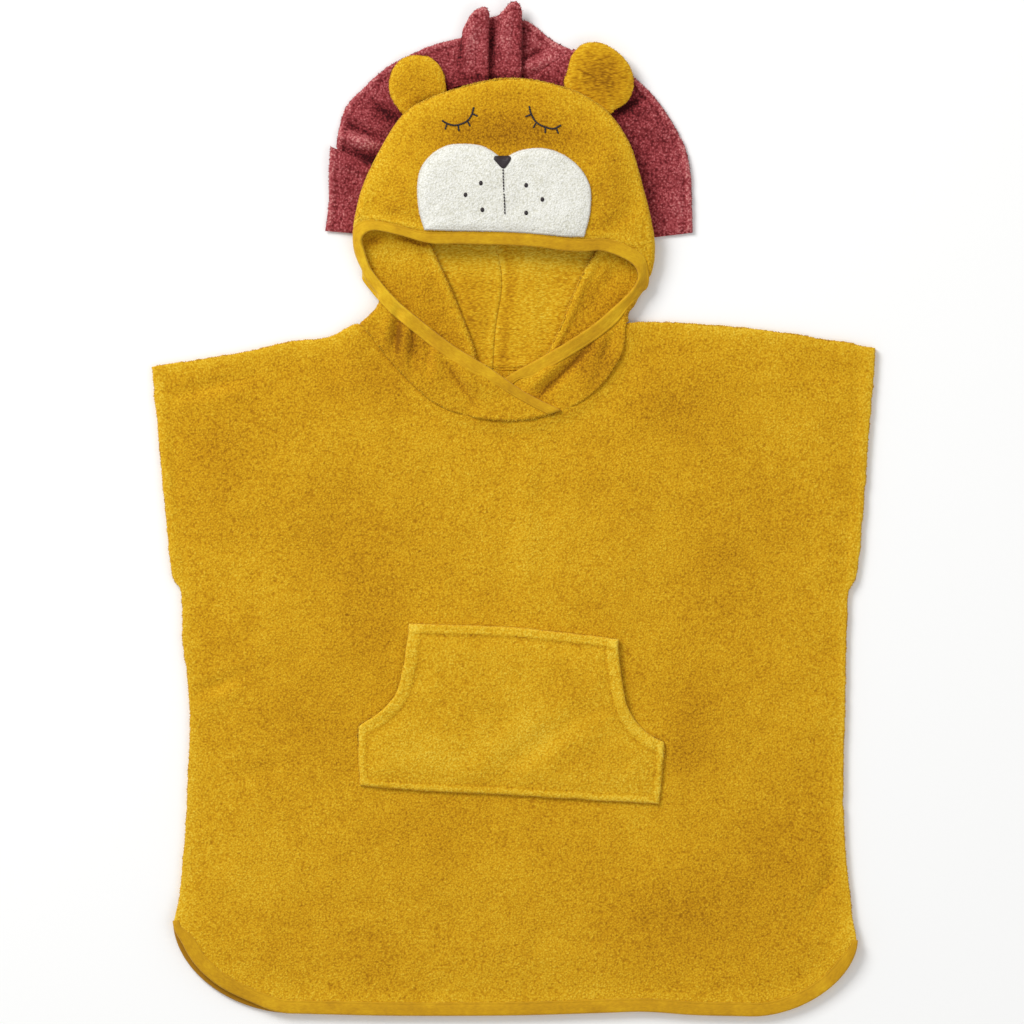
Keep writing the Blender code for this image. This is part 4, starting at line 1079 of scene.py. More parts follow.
def makePocket():
    # a Coons patch on the front panel, with a stitched groove beside each turned hem. A hem's height is
    # a bead that falls to the groove as exp(-((distance - reach) / 1.2)^2)
    bottom = roughLine(everyFew(throughPoints(pocket["bottom"], 8), 1.2), 61, 0.7)
    top = roughLine(everyFew(throughPoints(pocket["top"], 8), 1.2), 62, 0.5)
    left, right = sideLine(pocket["left"], 2, 63), sideLine(pocket["right"], 2, 64)
    plan = coonsPatch(bottom, top, left, right, pocket["cell"])[0]
    x, y = plan[:, :, 0], plan[:, :, 1]
    isSlant = {"left": left[:, 1] > 249.0, "right": right[:, 1] > 235.0}
    slants = np.minimum(
        distanceTo(x, y, left[isSlant["left"]]), distanceTo(x, y, right[isSlant["right"]]),
    )
    uprights = np.minimum(
        distanceTo(x, y, left[~isSlant["left"]]), distanceTo(x, y, right[~isSlant["right"]]),
    )
    sides = {
        "mouth": slants, "plain": np.minimum(uprights, distanceTo(x, y, bottom)),
        "top": distanceTo(x, y, top),
    }
    edge = np.minimum.reduce(list(sides.values()))
    base = bodyTop(x, y) + cloth["gap"]
    slanted = smoothStep((y - 244.0) / 22.0) * smoothStep((336.0 - y) / 26.0)
    base = base + pocket["mouthLift"] * bell(slants, 11.0) * slanted
    swell = creaseHeight(x, y, pocket["creases"]) * smoothStep(edge / 14.0)
    swell = 1.8 * smoothStep(edge / 26.0) + swell
    relief, tone = np.zeros(x.shape), np.zeros(x.shape)
    for key, distance in sides.items():
        reach, bead, groove = pocket["hems"][key]
        turned = 1.0 - smoothStep((distance - reach) / 1.6)
        stitched = bell(distance, 1.1, reach) * smoothStep((edge - 2.0) / 3.0)
        relief = np.maximum(relief, bead * turned) - groove * stitched
        # painted light on each turned hem and painted shade in its stitched groove
        tone += 0.45 * turned - 0.9 * stitched
    relief -= 0.7 * bell(sides["top"], 0.9, 4.2)
    upper = base + cloth["wall"] + swell + relief + terryLumps(x, y, 7)
    lower = base + swell * 0.8
    rim = roundedEdge(edge, 2.2)
    middle = lower + 1.0
    upper, lower = middle + (upper - middle) * rim, middle + (lower - middle) * rim
    piece = makeShell(
        "pocketPanel", np.dstack([plan, upper]), np.dstack([plan, lower]), terryMustard,
        tone=tone + 0.3 + patchTone(x, y, pocket["tones"]), replaces=["pocket"],
    )


makePocket()
print("pocket made")


# The hood.


def tapeDistance():
    # how far each point lies from the bound edge: along its section, or in plan where that runs slantwise
    distance = hoodReaches.copy()
    edge = hoodGrid[:, 0]
    for part in halves:
        top = hoodGrid[part, : hood["topEnd"]]
        plan = distanceTo(top[:, :, 0], top[:, :, 1], edge[part])
        kept = edgeKept[part, None]
        distance[part, : hood["topEnd"]] = mix(plan, distance[part, : hood["topEnd"]], kept)
    return distance


hoodPaintedShade = (
    # face: painted shade, deepest over the middle of the brow
    (-9, 757, 52, 20, -1.25), (-9, 792, 50, 9, -0.45), (-92, 700, 20, 30, -0.28),
    (84, 720, 16, 34, -0.3), (-60, 752, 30, 12, -0.2), (50, 752, 24, 12, -0.3),
    # cheeks: painted shade in their folds
    (-88, 576, 26, 22, -0.75), (-60, 548, 26, 14, -0.35),
    (70, 562, 24, 28, -0.95), (30, 536, 16, 10, -0.4),
)
# shaded folds in the cheeks: start, end, width and tone
hoodToneLines = (
    (-108, 611, -79, 588.5, 3, -2), (-96.4, 601, -99, 570, 2.6, -2.1), (-86, 594, -86.5, 566, 2.4, -1.1),
    (-59, 561, -33, 524, 2.4, -1.1), (17, 527.5, 68, 576.5, 3, -2),
)
# painted shade in the gaps beside the wings' tops, under the brow
wingShadeLines = (
    (-127, 664, -112, 668, 4, -1.8), (-100, 668.5, -66, 660, 2.2, -2.2), (106, 650, 92, 655, 3, -1.6),
)


def makeHoodFront():
    # the folded middle surface with its wall, pressed thin within the binding and rounded at its seams
    distance = tapeDistance()
    wall = tape["pressed"]
    wall = wall + (hood["wall"] - wall) * smoothStep((distance - hood["pastTape"]) / 2.6)
    along = lineLengths(hoodGrid[:, 30])
    fromSeam = hoodReaches[:, -1:] - hoodReaches
    fromNeck = toEnds(along)[:, None]
    rim = np.minimum(roundedEdge(fromSeam + 0.2, 2.4), 0.86 + 0.14 * roundedEdge(fromNeck, 2.4))
    a = np.broadcast_to(along[:, None], hoodReaches.shape)
    free = smoothStep((distance - hood["pastTape"]) / 2.0)
    x, y = hoodGrid[:, :, 0], hoodGrid[:, :, 1]
    offset = (wall / 2 * rim)[:, :, None]
    lumps = terryLumps(x, hoodReaches, 9, 1.1) * free * rim
    inner = terryLumps(x, hoodReaches, 12, 1.1) * free * rim
    upper = hoodGrid + hoodNormals * (offset + lumps[:, :, None])
    lower = hoodGrid - hoodNormals * (offset + inner[:, :, None])
    isTop = np.arange(hoodGrid.shape[1])[None, :] < hood["topEnd"]
    outline = hoodGrid[:, hood["topEnd"] + hood["rollColumns"] // 2]
    # painted light along the rolled top edge and where the cloth rises past the tape, on the face only
    paintedEdgeLight = 0.5 * bell(distanceTo(x, y, outline), 11.0)
    paintedEdgeLight += 0.4 * bell(distance, 6.0, 13.0)
    topTone = paintedEdgeLight * smoothStep((y - 640.0) / 30.0) + patchTone(x, y, hoodPaintedShade)
    topTone = topTone + creaseHeight(x, y, hoodToneLines)
    # inside: painted light growing towards the brow against its shadow, painted shade in the gaps, and
    # painted light on the wings' rolled ends
    underTone = 0.75 * smoothStep((y - 622.0) / 34.0) - 0.4 + creaseHeight(x, y, wingShadeLines)
    underTone = underTone + 0.8 * bell(fromSeam, 7.0)
    piece = makeShell(
        "hoodFront", upper, lower, terryMustard, uv=np.dstack([a, hoodReaches]),
        tone=np.where(isTop, topTone, underTone), replaces=["hood_front"],
    )
    return upper if topSign > 0 else lower


hoodTopSide = makeHoodFront()


# where the tape catches more light or less: middle, widths and tone
tapeTones = (
    (-118, 655, 26, 22, 1), (-100, 612, 26, 26, 0.9), (-20, 663, 60, 9, 0.15), (104, 650, 20, 16, 0.5),
    (88, 606, 20, 16, 0.5), (30, 568, 40, 20, 0.2), (-30, 556, 30, 20, 0.25),
)


def makeHoodBinding():
    # the tape's profile on the hood's edge: along each section where that is square to the edge, and
    # straight inwards over the cloth's height where the sections run slantwise
    edge = hoodGrid[:, 0]
    start = unit(hoodGrid[:, 2] - edge)
    square = np.column_stack([edgeSquare, np.zeros(len(edge))])
    kept = edgeKept[:, None, None]
    reached = lineLengths(edge)
    columns = np.arange(len(hood["tapeReaches"]))
    grids = []
    for profile in tapeProfile():
        reach = np.maximum(profile[:, 0], 0.0)
        column = np.interp(reach, hood["tapeReaches"], columns)
        low = np.minimum(np.floor(column).astype(int), len(columns) - 2)
        share = (column - low)[None, :, None]
        place = mix(hoodGrid[:, low], hoodGrid[:, low + 1], share)
        lift = mix(hoodNormals[:, low], hoodNormals[:, low + 1], share)
        across = edge[:, None] + square[:, None] * reach[None, :, None]
        for part, raster in zip(halves, hoodTops):
            under = raster.at(across[part, :, 0], across[part, :, 1])
            across[part, :, 2] = np.maximum(under, hood["lowestTape"])
        place = mix(across, place, kept)
        lift = mix(np.array((0.0, 0.0, topSign)), lift, kept)
        beyond = unit(mix(square[:, None], start[:, None], kept))
        beyond = beyond * np.minimum(profile[:, 0], 0.0)[None, :, None]
        grids.append(place + beyond + lift * profile[None, :, 1:])
    across = lineLengths(tapeProfile()[0])
    piece = makeShell(
        "hoodBinding", grids[0], grids[1], tapeMustard, uv=np.dstack(np.meshgrid(across, reached)),
        tone=patchTone(grids[0][:, :, 0], grids[0][:, :, 1], tapeTones), replaces=["hood_binding"],
    )


makeHoodBinding()

hoodBack = {
    "cell": 2.1, "seamRidge": 1.4,
    "seam": (
        (-17.6, 556.2), (-16, 584), (-14.2, 599), (-10.9, 618), (-10, 634), (-12, 648), (-15, 662),
        (-15, 680), (-12.5, 704), (-10.5, 735), (-9.5, 765), (-9, 785), (-9, 795),
    ),
    "left": (
        (-50, 559.5), (-54, 584), (-56, 599), (-62, 618), (-69, 634), (-75, 648), (-79, 662), (-80, 680),
        (-91, 704), (-94, 735), (-80, 765), (-48, 785),
    ),
    "right": (
        (38, 562.5), (47, 584), (54, 599), (60, 618), (67, 634), (74, 648), (76, 662), (76, 680),
        (80, 704), (79, 735), (67, 765), (38, 785),
    ),
    "creases": ((14, 590, 40, 660, 9, 0.8), (30, 590, 52, 640, 7, -0.7), (-36, 590, -44, 650, 9, 0.7)),
}


def makeHoodBack(side):
    # a Coons patch from the centre seam to the outer edge, rising to a soft ridge at the seam
    away = -1.0 if side == "left" else 1.0
    seam = throughPoints(hoodBack["seam"], 8) - (away * 0.4, 0.0)
    outer = throughPoints(hoodBack[side], 8)
    neck = throughPoints(body["backNeck"], 14)
    foot = nearestPart(neck, seam[0], outer[0]) - (0.0, 0.8)
    foot = np.vstack([seam[:1], foot[1:-1], outer[:1]])
    head = np.array([seam[-1], outer[-1]])
    plan = coonsPatch(foot, head, seam, outer, hoodBack["cell"])[0]
    x, y = plan[:, :, 0], plan[:, :, 1]
    fromSeam = distanceTo(x, y, seam)
    height = hoodBack["seamRidge"] if side == "left" else 0.3
    ridge = height * bell(fromSeam, 2.6, 2.6)
    neckRidge = 0.9 * bell(distanceTo(x, y, neck), 2.5, 3.5)
    swell = 0.7 * (1.0 + mottle(x, y, 24.0, 83)) * smoothStep(fromSeam / 12.0)
    rim = 0.7 + 0.3 * roundedEdge(np.minimum(fromSeam, distanceTo(x, y, neck)), 1.8)
    upper = cloth["wall"] + ridge + neckRidge + swell + creaseHeight(x, y, hoodBack["creases"])
    # what lies under the front's turned-in wings stays low enough to clear them
    clear = smoothStep((np.abs(x + 13.0) - 22.0) / 20.0)
    upper = np.minimum(upper, 4.6 - 1.9 * clear) + terryLumps(x, y, 15, 0.9) * (1.0 - clear)
    lower = np.zeros(x.shape)
    # painted light growing towards the brow, a painted highlight on the seam's ridge, painted shade
    # beside it on the right half, and two given patches
    tone = 0.1 + 0.9 * smoothStep((y - 626.0) / 30.0) + 0.3 * bell(fromSeam, 3.0, 2.6)
    tone = tone - 0.7 * bell(fromSeam, 4.0, 8.0) * (side == "right")
    tone = tone + patchTone(x, y, ((24.0, 612.0, 20.0, 26.0, 0.45), (-38.0, 600.0, 16.0, 40.0, -0.4)))
    piece = makeShell(
        "hoodBack" + side.capitalize(), np.dstack([plan, upper * rim]), np.dstack([plan, lower]),
        terryInterior, tone=tone, replaces=["hood_back_" + side],
    )


makeHoodBack("left")
makeHoodBack("right")
print("hood made")


# The mane.

mane = {
    "wall": 3.6,  # one cloth folded double
    "perSpan": 8,
    "ribPoints": 44,
    # each stretch's ribs: x, y and height at the hood's seam, then the same at the folded edge
    "mane_flap": (
        (-97, 668.5, 2, -161.5, 674, 1.9), (-98, 688, 2, -158.6, 698, 1.9),
        (-99.5, 707, 4.8, -158.4, 722, 4.6), (-102, 723, 6.2, -157.2, 746.5, 7.4),
    ),
    "mane_left": (
        (-101, 716, 1.9, -150, 737, 1.9), (-101.5, 730, 1.9, -151.8, 748.5, 1.9),
        (-99, 750, 1.9, -148.6, 766, 2.4), (-92, 766, 1.9, -143.5, 781, 1.9),
        (-81, 778, 1.9, -128.4, 797, 1.9), (-66, 786.5, 1.9, -107.8, 815, 1.9),
        (-52, 793, 1.9, -84.6, 827, 1.9), (-40, 797, 1.9, -64, 835, 1.9),
        (-31, 799, 1.9, -40, 840.5, 1.9),
    ),
    "mane_pleat_left": (
        (-53, 797, 5.8, -42.6, 846, 5.8), (-42, 799, 6.4, -35, 861, 9),
        (-31, 800, 6.8, -24.5, 865.6, 11.5), (-21, 800, 6.6, -20.8, 860, 9.5),
    ),
    "mane_pleat_right": (
        (-30, 801, 1.9, -27.5, 852, 1.9), (-22, 801, 1.9, -20.5, 857, 1.9),
        (-16.5, 801, 1.9, -14, 858.5, 2.2), (-12, 801, 4.2, -8, 863.5, 7), (-5, 801, 6.4, -2, 870, 11),
        (2, 801, 6.6, 3.8, 869.6, 11.5), (7, 801, 6.2, 7, 862, 9),
    ),
    "mane_crown": (
        (0, 800.5, 1.9, 2, 850, 1.9), (10, 800.5, 1.9, 8.6, 855, 1.9), (20, 799.5, 1.9, 19.3, 849, 1.9),
        (32, 796.5, 1.9, 31.5, 839, 1.9), (45, 791.5, 1.9, 45, 831.5, 1.9), (57, 785, 1.9, 62, 824, 1.9),
    ),
    "mane_right": (
        (9.5, 802, 5.8, 51.5, 829.6, 6), (26, 799.5, 5.8, 66, 827, 5.8), (46, 792, 5.8, 84, 819, 5.8),
        (66, 780.5, 5.8, 102.6, 806.5, 4.8), (78, 768, 3.6, 118, 792, 2.6),
        (85, 754, 1.9, 129.5, 777.5, 1.9), (87.5, 740, 1.9, 140.2, 760, 1.9),
        (87.5, 722, 1.9, 148.4, 741.5, 1.9), (87, 704, 1.9, 152.2, 720, 1.9),
        (86, 690, 1.9, 153, 698, 1.9), (84, 664, 1.9, 153.6, 672.5, 1.9),
    ),
    # soft folds: start, end, width and height
    "creases": (
        (-151, 757.5, -117, 746.5, 4.6, 6), (-151, 744, -115, 733.5, 4, -2.4),
        (-148, 768, -112, 752, 4.6, -2.2), (-141, 777, -108, 760, 5, 2.6),
        (-124, 785, -98, 769.5, 4.4, -2.4), (-127, 797, -104, 780, 6, 2.2), (-98, 815, -84, 795, 5, -1.4),
        (-156, 735, -118, 722, 5, 2.2), (-150, 712, -122, 696, 7, -0.9), (83, 774, 112, 789, 4.6, -3),
        (96, 772, 121, 783, 5, 2.2), (95, 757, 128, 747, 7, -1.8), (98, 766, 132, 764, 7, 1.6),
        (100, 735, 148, 728, 8, 1.2), (146, 712, 106, 704, 8, -1), (6, 812, 46, 826, 5, 3),
        (9, 821.5, 27, 832, 4, -2), (40, 815, 66, 806, 5, 1.8), (-47, 812, -32, 858, 3.4, 1.6),
        (-33, 808, -27, 852, 3.2, -1.3), (-19, 812, -3, 864, 3, 1.8), (-2, 815, 1, 855, 2.8, -1.6),
        (5, 812, 6, 858, 2.4, 1.2),
    ),
    # painted shade in gaps and painted highlights on ridges: start, end, width and tone
    "toneLines": (
        (-153, 749.5, -103, 729, 4, -1.2), (-149, 757, -118, 747.5, 3, 0.35),
        (-148, 768, -112, 752, 3.6, -0.9), (-124, 785, -98, 770, 4, -1), (83, 774, 112, 789, 3.6, -1.2),
        (9, 821, 27, 831.5, 3, -1.3), (8, 812, 46, 826, 3.2, 0.25), (-19, 812, -18, 856, 2.6, -0.8),
        (7.5, 812, 8, 856, 2.4, -0.6), (-48, 808, -42, 842, 2.4, -1), (-46, 806, 4, 806.5, 2.4, -0.8),
    ),
    # patches painted darker and paler, partly as painted shade and light, with the painted shadow in the
    # gap above the flap, and partly as the pile's lie: middle, widths and tone
    "tones": (
        (-150, 690, 16, 26, 0.05), (-120, 776, 18, 22, -0.2), (22, 830, 22, 16, 0.4),
        (120, 700, 22, 40, -0.2), (-132, 748, 20, 6, 0.3), (-118, 734, 18, 7, -0.8),
        (-112, 772, 14, 10, -0.4), (110, 740, 22, 40, -0.35), (140, 690, 14, 30, 0.3),
        (96, 778, 16, 7, -0.8), (-33, 838, 8, 24, 0.55), (-6, 842, 7, 22, 0.4), (-17, 830, 5, 24, -0.6),
        (6, 835, 5, 22, -0.4), (-60, 805, 16, 10, -0.3),
    ),
    "foldInset": 6.6,  # a line of stitches inside the folded edge
    "flats": {
        "mane_flap": (0.08, 0.067), "mane_left": (0.16, 0.055), "mane_pleat_left": (0.034, 0.068),
        "mane_pleat_right": (0.038, 0.072), "mane_crown": (0.068, 0.056), "mane_right": (0.225, 0.068),
    },
}


def makeMane(name):
    # straight ribs between the smoothed inner and outer lines, with a wall, folds and rounded edges
    rows = throughPoints(mane[name], mane["perSpan"] if len(mane[name]) > 4 else 2 * mane["perSpan"])
    shares = edgeShares(60.0, 60.0 / mane["ribPoints"])
    inner, outer = rows[:, None, :3], rows[:, None, 3:]
    grid = inner + (outer - inner) * shares[None, :, None]
    depth = np.linalg.norm(rows[:, 3:] - rows[:, :3], axis=1)[:, None]
    outerRun = lineLengths(rows[:, 3:])[:, None]
    fromOuter = (1.0 - shares)[None, :] * depth
    fromSides = toEnds(outerRun)
    x, y = grid[:, :, 0], grid[:, :, 1]
    soft = 0.9 * (0.6 + mottle(x, y, 17.0, 91)) * smoothStep(fromSides / 10.0)
    folds = creaseHeight(x, y, mane["creases"]) * (0.45 + 0.55 * smoothStep(fromOuter / 5.0))
    inside = np.linalg.norm(grid[:, :, :2] - rows[:, None, :2], axis=2)
    tuck = 0.35 + 0.65 * smoothStep((inside - 2.0) / 14.0)
    grid[:, :, 2] += np.maximum((folds + soft) * tuck, -0.8)
    normals = gridNormals(grid)
    facing = np.sign(normals[:, :, 2].mean())
    rim = roundedEdge(np.minimum(fromOuter, fromSides), 2.2)
    seamDip = 0.9 * bell(fromOuter, 1.3, mane["foldInset"])
    lumps = terryLumps(x, y, 21, 1.35)
    half = mane["wall"] / 2
    upper = grid + facing * normals * (rim * (half - seamDip + lumps))[:, :, None]
    lower = grid - facing * normals * (rim * half)[:, :, None]
    shift = 0.5 * mottle(outerRun, 0.0 * outerRun, 3.2, 95) * smoothStep(1.0 - fromOuter / 6.0)
    outward = (rows[:, 3:5] - rows[:, :2]) / depth
    for side in (upper, lower):
        side[:, :, :2] += outward[:, None] * shift[:, :, None]
    lower[:, :, 2] = np.maximum(lower[:, :, 2], 0.0)
    # painted shade near the seam to the face and in the stitched groove, painted highlights along the
    # folded edge and on the folds' ridges
    tone = patchTone(x, y, mane["tones"]) - 0.55 * bell(inside, 9.0)
    tone = tone + 0.5 * bell(fromOuter, 6.0) + 0.06 * folds - 0.35 * (seamDip > 0.3)
    tone = tone + creaseHeight(x, y, mane["toneLines"])
    title = camelName(name)
    piece = makeShell(title, upper, lower, terryRed, tone=tone, replaces=[name])
    print(title, len(piece.data.polygons), "faces", round(gridArea(grid) * 1e-6, 5), "m2")


for stretch in mane["flats"]:
    makeMane(stretch)
print("mane made")


# The ears, the muzzle, the face's thread and the pile along the edges.

ears = {
    "ear_left": {
        "outline": (
            (-92.8, 772.9), (-99.5, 779.8), (-104.3, 787.1), (-106.6, 796.4), (-105.8, 805.8),
            (-102.6, 814.1), (-96.4, 820.8), (-88.1, 824.1), (-79.8, 824.5), (-71.4, 822.5),
            (-64.1, 816.2), (-59.7, 807.9), (-58.4, 799.5), (-58.9, 791.4), (-76.6, 785.6), (-86, 778.8),
        ),
        "middle": (-82.0, 801.0), "floor": 4.3, "thick": 7.0,
        "tones": ((-84.0, 797.0, 15.0, 13.0, -0.45), (-76.0, 783.0, 14.0, 6.0, -0.5)),
    },
    "ear_right": {
        "outline": (
            (44.1, 797), (46.6, 812), (49.4, 822.5), (54.5, 829.8), (59.8, 833.9), (67.1, 835.6),
            (76, 834.4), (84.6, 830.4), (92.6, 824), (99.2, 815.4), (102.9, 804.8), (102.4, 795.4),
            (99.3, 787.1), (94.1, 781.8), (86.8, 777.7), (81.7, 774.6), (62.9, 785.6),
        ),
        "middle": (74.0, 806.0), "floor": 8.2, "thick": 8.0,
        "tones": ((76.0, 806.0, 20.0, 19.0, -1.25), (70.0, 786.0, 20.0, 7.0, -0.3)),
    },
    "step": 1.2, "rings": 25,
}


def makeEar(name):
    # rings drawn in from the sewn outline, its half thickness falling as (1 - r^2.6)^0.55 to the edge
    ear = ears[name]
    outline = everyFew(throughPoints(ear["outline"], 10, closed=True), ears["step"], closed=True)
    reached = np.arange(len(outline)) * ears["step"]
    shift = 0.3 * mottle(reached, 0.0 * reached, 3.0, 101)
    outline = outline - leftOf(outline, closed=True) * shift[:, None]
    share = np.sin(np.linspace(0.04, math.pi / 2, ears["rings"]))
    share = np.concatenate([share, share[-2::-1]])[:, None]
    sign = np.where(np.arange(len(share)) < ears["rings"], 1.0, -1.0)[:, None]
    half = ear["thick"] / 2 * np.maximum(1.0 - share**2.6, 0.0) ** 0.55
    plan = np.array(ear["middle"]) + (outline - ear["middle"])[None] * share[:, :, None]
    x, y = plan[:, :, 0], plan[:, :, 1]
    lumps = terryLumps(x, y, 103, 1.1) * (1.0 - share**6)
    z = ear["floor"] + 2.4 + sign * (half + lumps * (sign > 0))
    z = np.maximum(z, ear["floor"] - 0.5)
    isRight = name.endswith("right")
    title = camelName(name)
    stuff = terryRows if isRight else terryMustard
    piece = makeTube(title, np.dstack([x, y, z]), stuff, replaces=[name])
    # painted shade over the ear's middle and its foot, and painted light towards its rim
    tone = patchTone(x, y, ear["tones"]) + 0.6 * share**5
    addTone(piece, np.concatenate([tone.ravel(), [-0.4, -0.4]]))


makeEar("ear_left")
makeEar("ear_right")


faceTop = HeightRaster([hoodTopSide], *hoodCorners, 1.0)

muzzle = {
    "outline": (
        (-76, 674.4), (-80.5, 690.2), (-82, 710.2), (-79, 726.2), (-70, 738.2), (-57, 745.7),
        (-42, 747.2), (-28, 745.7), (-18, 740.7), (-9, 734.7), (0, 739.2), (11, 742.7), (27, 743.2),
        (43, 737.7), (56, 727.2), (64, 714.2), (66, 702.2), (64.5, 685.2), (60, 668.4), (44, 668.8),
        (20, 671), (0, 672.4), (-25, 673.2), (-50, 673.6),
    ),
    "middle": (-9.0, 706.0), "wall": 1.9, "rings": 38, "around": 260,
}


def muzzleLine(step):
    # the patch's outline, smooth except at its two lower corners
    corner = np.array(muzzle["outline"])
    upper = throughPoints(corner[:19], 10)
    lower = throughPoints(np.vstack([corner[18:], corner[:1]]), 10)
    return everyFew(np.vstack([upper[:-1], lower[:-1]]), step, closed=True)


def makeMuzzle():
    # rings shrunk towards the middle, laid on the face's height and crowned a little
    line = muzzleLine(1.0)
    outline = alongLine(np.vstack([line, line[:1]]), np.arange(muzzle["around"]) / muzzle["around"])
    share = np.linspace(0.02, 1.0, muzzle["rings"])
    share = 1.0 - (1.0 - share) ** 1.25
    plan = np.array(muzzle["middle"]) + (outline - muzzle["middle"])[None] * share[:, None, None]
    x, y = plan[:, :, 0], plan[:, :, 1]
    base = faceTop.at(x, y)
    fromEdge = (1.0 - share)[:, None] * np.linalg.norm(outline - muzzle["middle"], axis=1)[None, :]
    crown = 0.9 * smoothStep(fromEdge / 9.0)
    top = base + 0.3 + muzzle["wall"] * roundedEdge(fromEdge, 1.6) + crown
    top = top + terryLumps(x, y, 111, 0.9) * smoothStep(fromEdge / 3.0)
    upper = np.dstack([x, y, top])
    lower = np.dstack([x, y, base - 0.4])[::-1]
    piece = makeTube("muzzlePatch", np.concatenate([upper, lower[1:]]), terryWhite, replaces=["muzzle"])
    return upper


muzzleSide = makeMuzzle()
faceTop.add(np.concatenate([muzzleSide, muzzleSide[:, :1]], axis=1))
faceTop.fill()

embroidery = {
    "nose": (
        (-15.6, 737.1), (-9, 737.5), (-3.4, 737.3), (-2.2, 734.3), (-4.6, 730.1), (-7.8, 726.5),
        (-10.8, 727.3), (-14.4, 731.3), (-16.8, 734.3),
    ),
    "noseMiddle": (-9.0, 733.7),
    "lids": (
        ((-61.5, 768), (-56.5, 765), (-49.7, 763.6), (-41.4, 766.1), (-36.2, 771.8), (-33.6, 780.3)),
        ((13.4, 780.3), (15.1, 773.4), (19.5, 766.1), (26.2, 762.4), (34, 760.6), (40.8, 763.7)),
    ),
    "lashes": (
        ((-57, 764.7), (-58.6, 759.9)), ((-47.3, 763.6), (-46.6, 757.6)),
        ((-39.2, 767.2), (-36.8, 762.1)), ((-35.2, 773.5), (-30, 771.1)), ((14.9, 772.9), (9.4, 770.5)),
        ((19.2, 765.7), (16.7, 760.7)), ((27.2, 761.9), (27, 755.7)), ((36.4, 761.1), (38.7, 755.6)),
    ),
    "mouth": ((-9.0, 726.1), (-8.6, 712.7), (-7.8, 698.7), (-7.3, 685.6)),
    "dots": ((-27.9, 713.9), (-41.0, 703.9), (-26.6, 691.1), (10.8, 712.1), (24.7, 699.9), (10.8, 688.5)),
    "dotSize": (1.75, 2.1), "lidThread": 0.95, "lashThread": 0.85, "mouthThread": 0.62,
}


def onFace(points, lift):
    # plan points set on the face's highest surface, a little above it
    return np.column_stack([points, faceTop.at(points[:, 0], points[:, 1]) + lift])


def makeNose():
    # a low dome of satin stitch, ribbed across by each thread
    outline = everyFew(throughPoints(embroidery["nose"], 8, closed=True), 0.8, closed=True)
    middle = np.array(embroidery["noseMiddle"])
    share = np.sin(np.linspace(0.05, math.pi / 2, 14))
    plan = middle + (outline - middle)[None] * share[:, None, None]
    x, y = plan[:, :, 0], plan[:, :, 1]
    base = faceTop.at(x, y)
    dome = 1.5 * np.maximum(1.0 - share**3.0, 0.0)[:, None] ** 0.5
    ribs = 0.1 * np.sin(2.0 * math.pi * x / 0.9) * (1.0 - share[:, None] ** 4)
    upper = np.dstack([x, y, base + dome + ribs + 0.1])
    lower = np.dstack([x, y, base - 0.5])[::-1]
    makeTube("noseSatinStitch", np.concatenate([upper, lower[1:]]), threadBlack, replaces=["nose"])


def makeFaceThreads():
    # lids, lashes and mouth as runs of overlapping stitches, and the dots as small knots
    runs = []
    for lid in embroidery["lids"]:
        line = onFace(everyFew(throughPoints(lid, 10), 0.5), 0.15)
        runs.append(stitchRow(line, 2.4, -0.55, embroidery["lidThread"]))
    for lash in embroidery["lashes"]:
        line = onFace(alongLine(np.array(lash), np.linspace(0, 1, 9)), 0.12)
        runs.append(stitchRow(line, 3.1, -0.8, embroidery["lashThread"]))
    line = onFace(everyFew(throughPoints(embroidery["mouth"], 12), 0.5), 0.45)
    runs.append(stitchRow(line, 2.5, 0.15, embroidery["mouthThread"]))
    makeSpindles("faceStitches", np.concatenate(runs), threadBlack)

    dots = np.array(embroidery["dots"])
    share = np.array((0.12, 0.6, 1.0, 0.7, 0.15))
    rise = np.array((0.9, 0.7, 0.1, -0.5, -0.6))
    angles = np.linspace(0.0, 2.0 * math.pi, 10, endpoint=False)
    width, height = embroidery["dotSize"]
    base = faceTop.at(dots[:, 0], dots[:, 1])
    x = dots[:, 0, None, None] + width * share[:, None] * np.cos(angles)
    y = dots[:, 1, None, None] + height * share[:, None] * np.sin(angles)
    z = base[:, None, None] + np.broadcast_to(rise[:, None], x.shape[1:])
    makeSpindles("whiskerDots", np.stack([x, y, np.broadcast_to(z, x.shape)], axis=-1), threadBlack)


def makeMuzzleStitch():
    # close zigzag stitches that hold the patch's edge, as short spindles set slantwise across the line
    line = muzzleLine(0.9)
    inwards = -leftOf(line, closed=True)
    shoelace = (line[:, 0] * np.roll(line[:, 1], -1) - np.roll(line[:, 0], -1) * line[:, 1]).sum()
    inwards = inwards if shoelace < 0 else -inwards
    ends = [onFace(line + inwards * reach, 0.25) for reach in (-0.55, 1.25)]
    slant = [ends[0], np.roll(ends[1], -1, axis=0)]
    share = np.linspace(0.0, 1.0, 4)[None, :, None]
    places = mix(slant[0][:, None], slant[1][:, None], share)
    along = unit(places[:, -1:] - places[:, :1])
    side = np.cross(along, (0.0, 0.0, 1.0))
    size = 0.42 * np.array((0.5, 1.0, 1.0, 0.5))[None, :, None, None]
    rings = ringsRound(places, side, np.cross(side, along), 5, size)
    makeSpindles("muzzleEdgeStitch", rings, threadWhite)


makeNose()
makeFaceThreads()
makeMuzzleStitch()


pile = {
    "gap": 0.68,  # between tufts, coarser than the real loops so that each shows
    "length": (0.7, 1.8),
    "radius": 0.36,
    "spread": 0.75,
    "rootInset": 0.8,  # of the tufts' feet from the edge
}


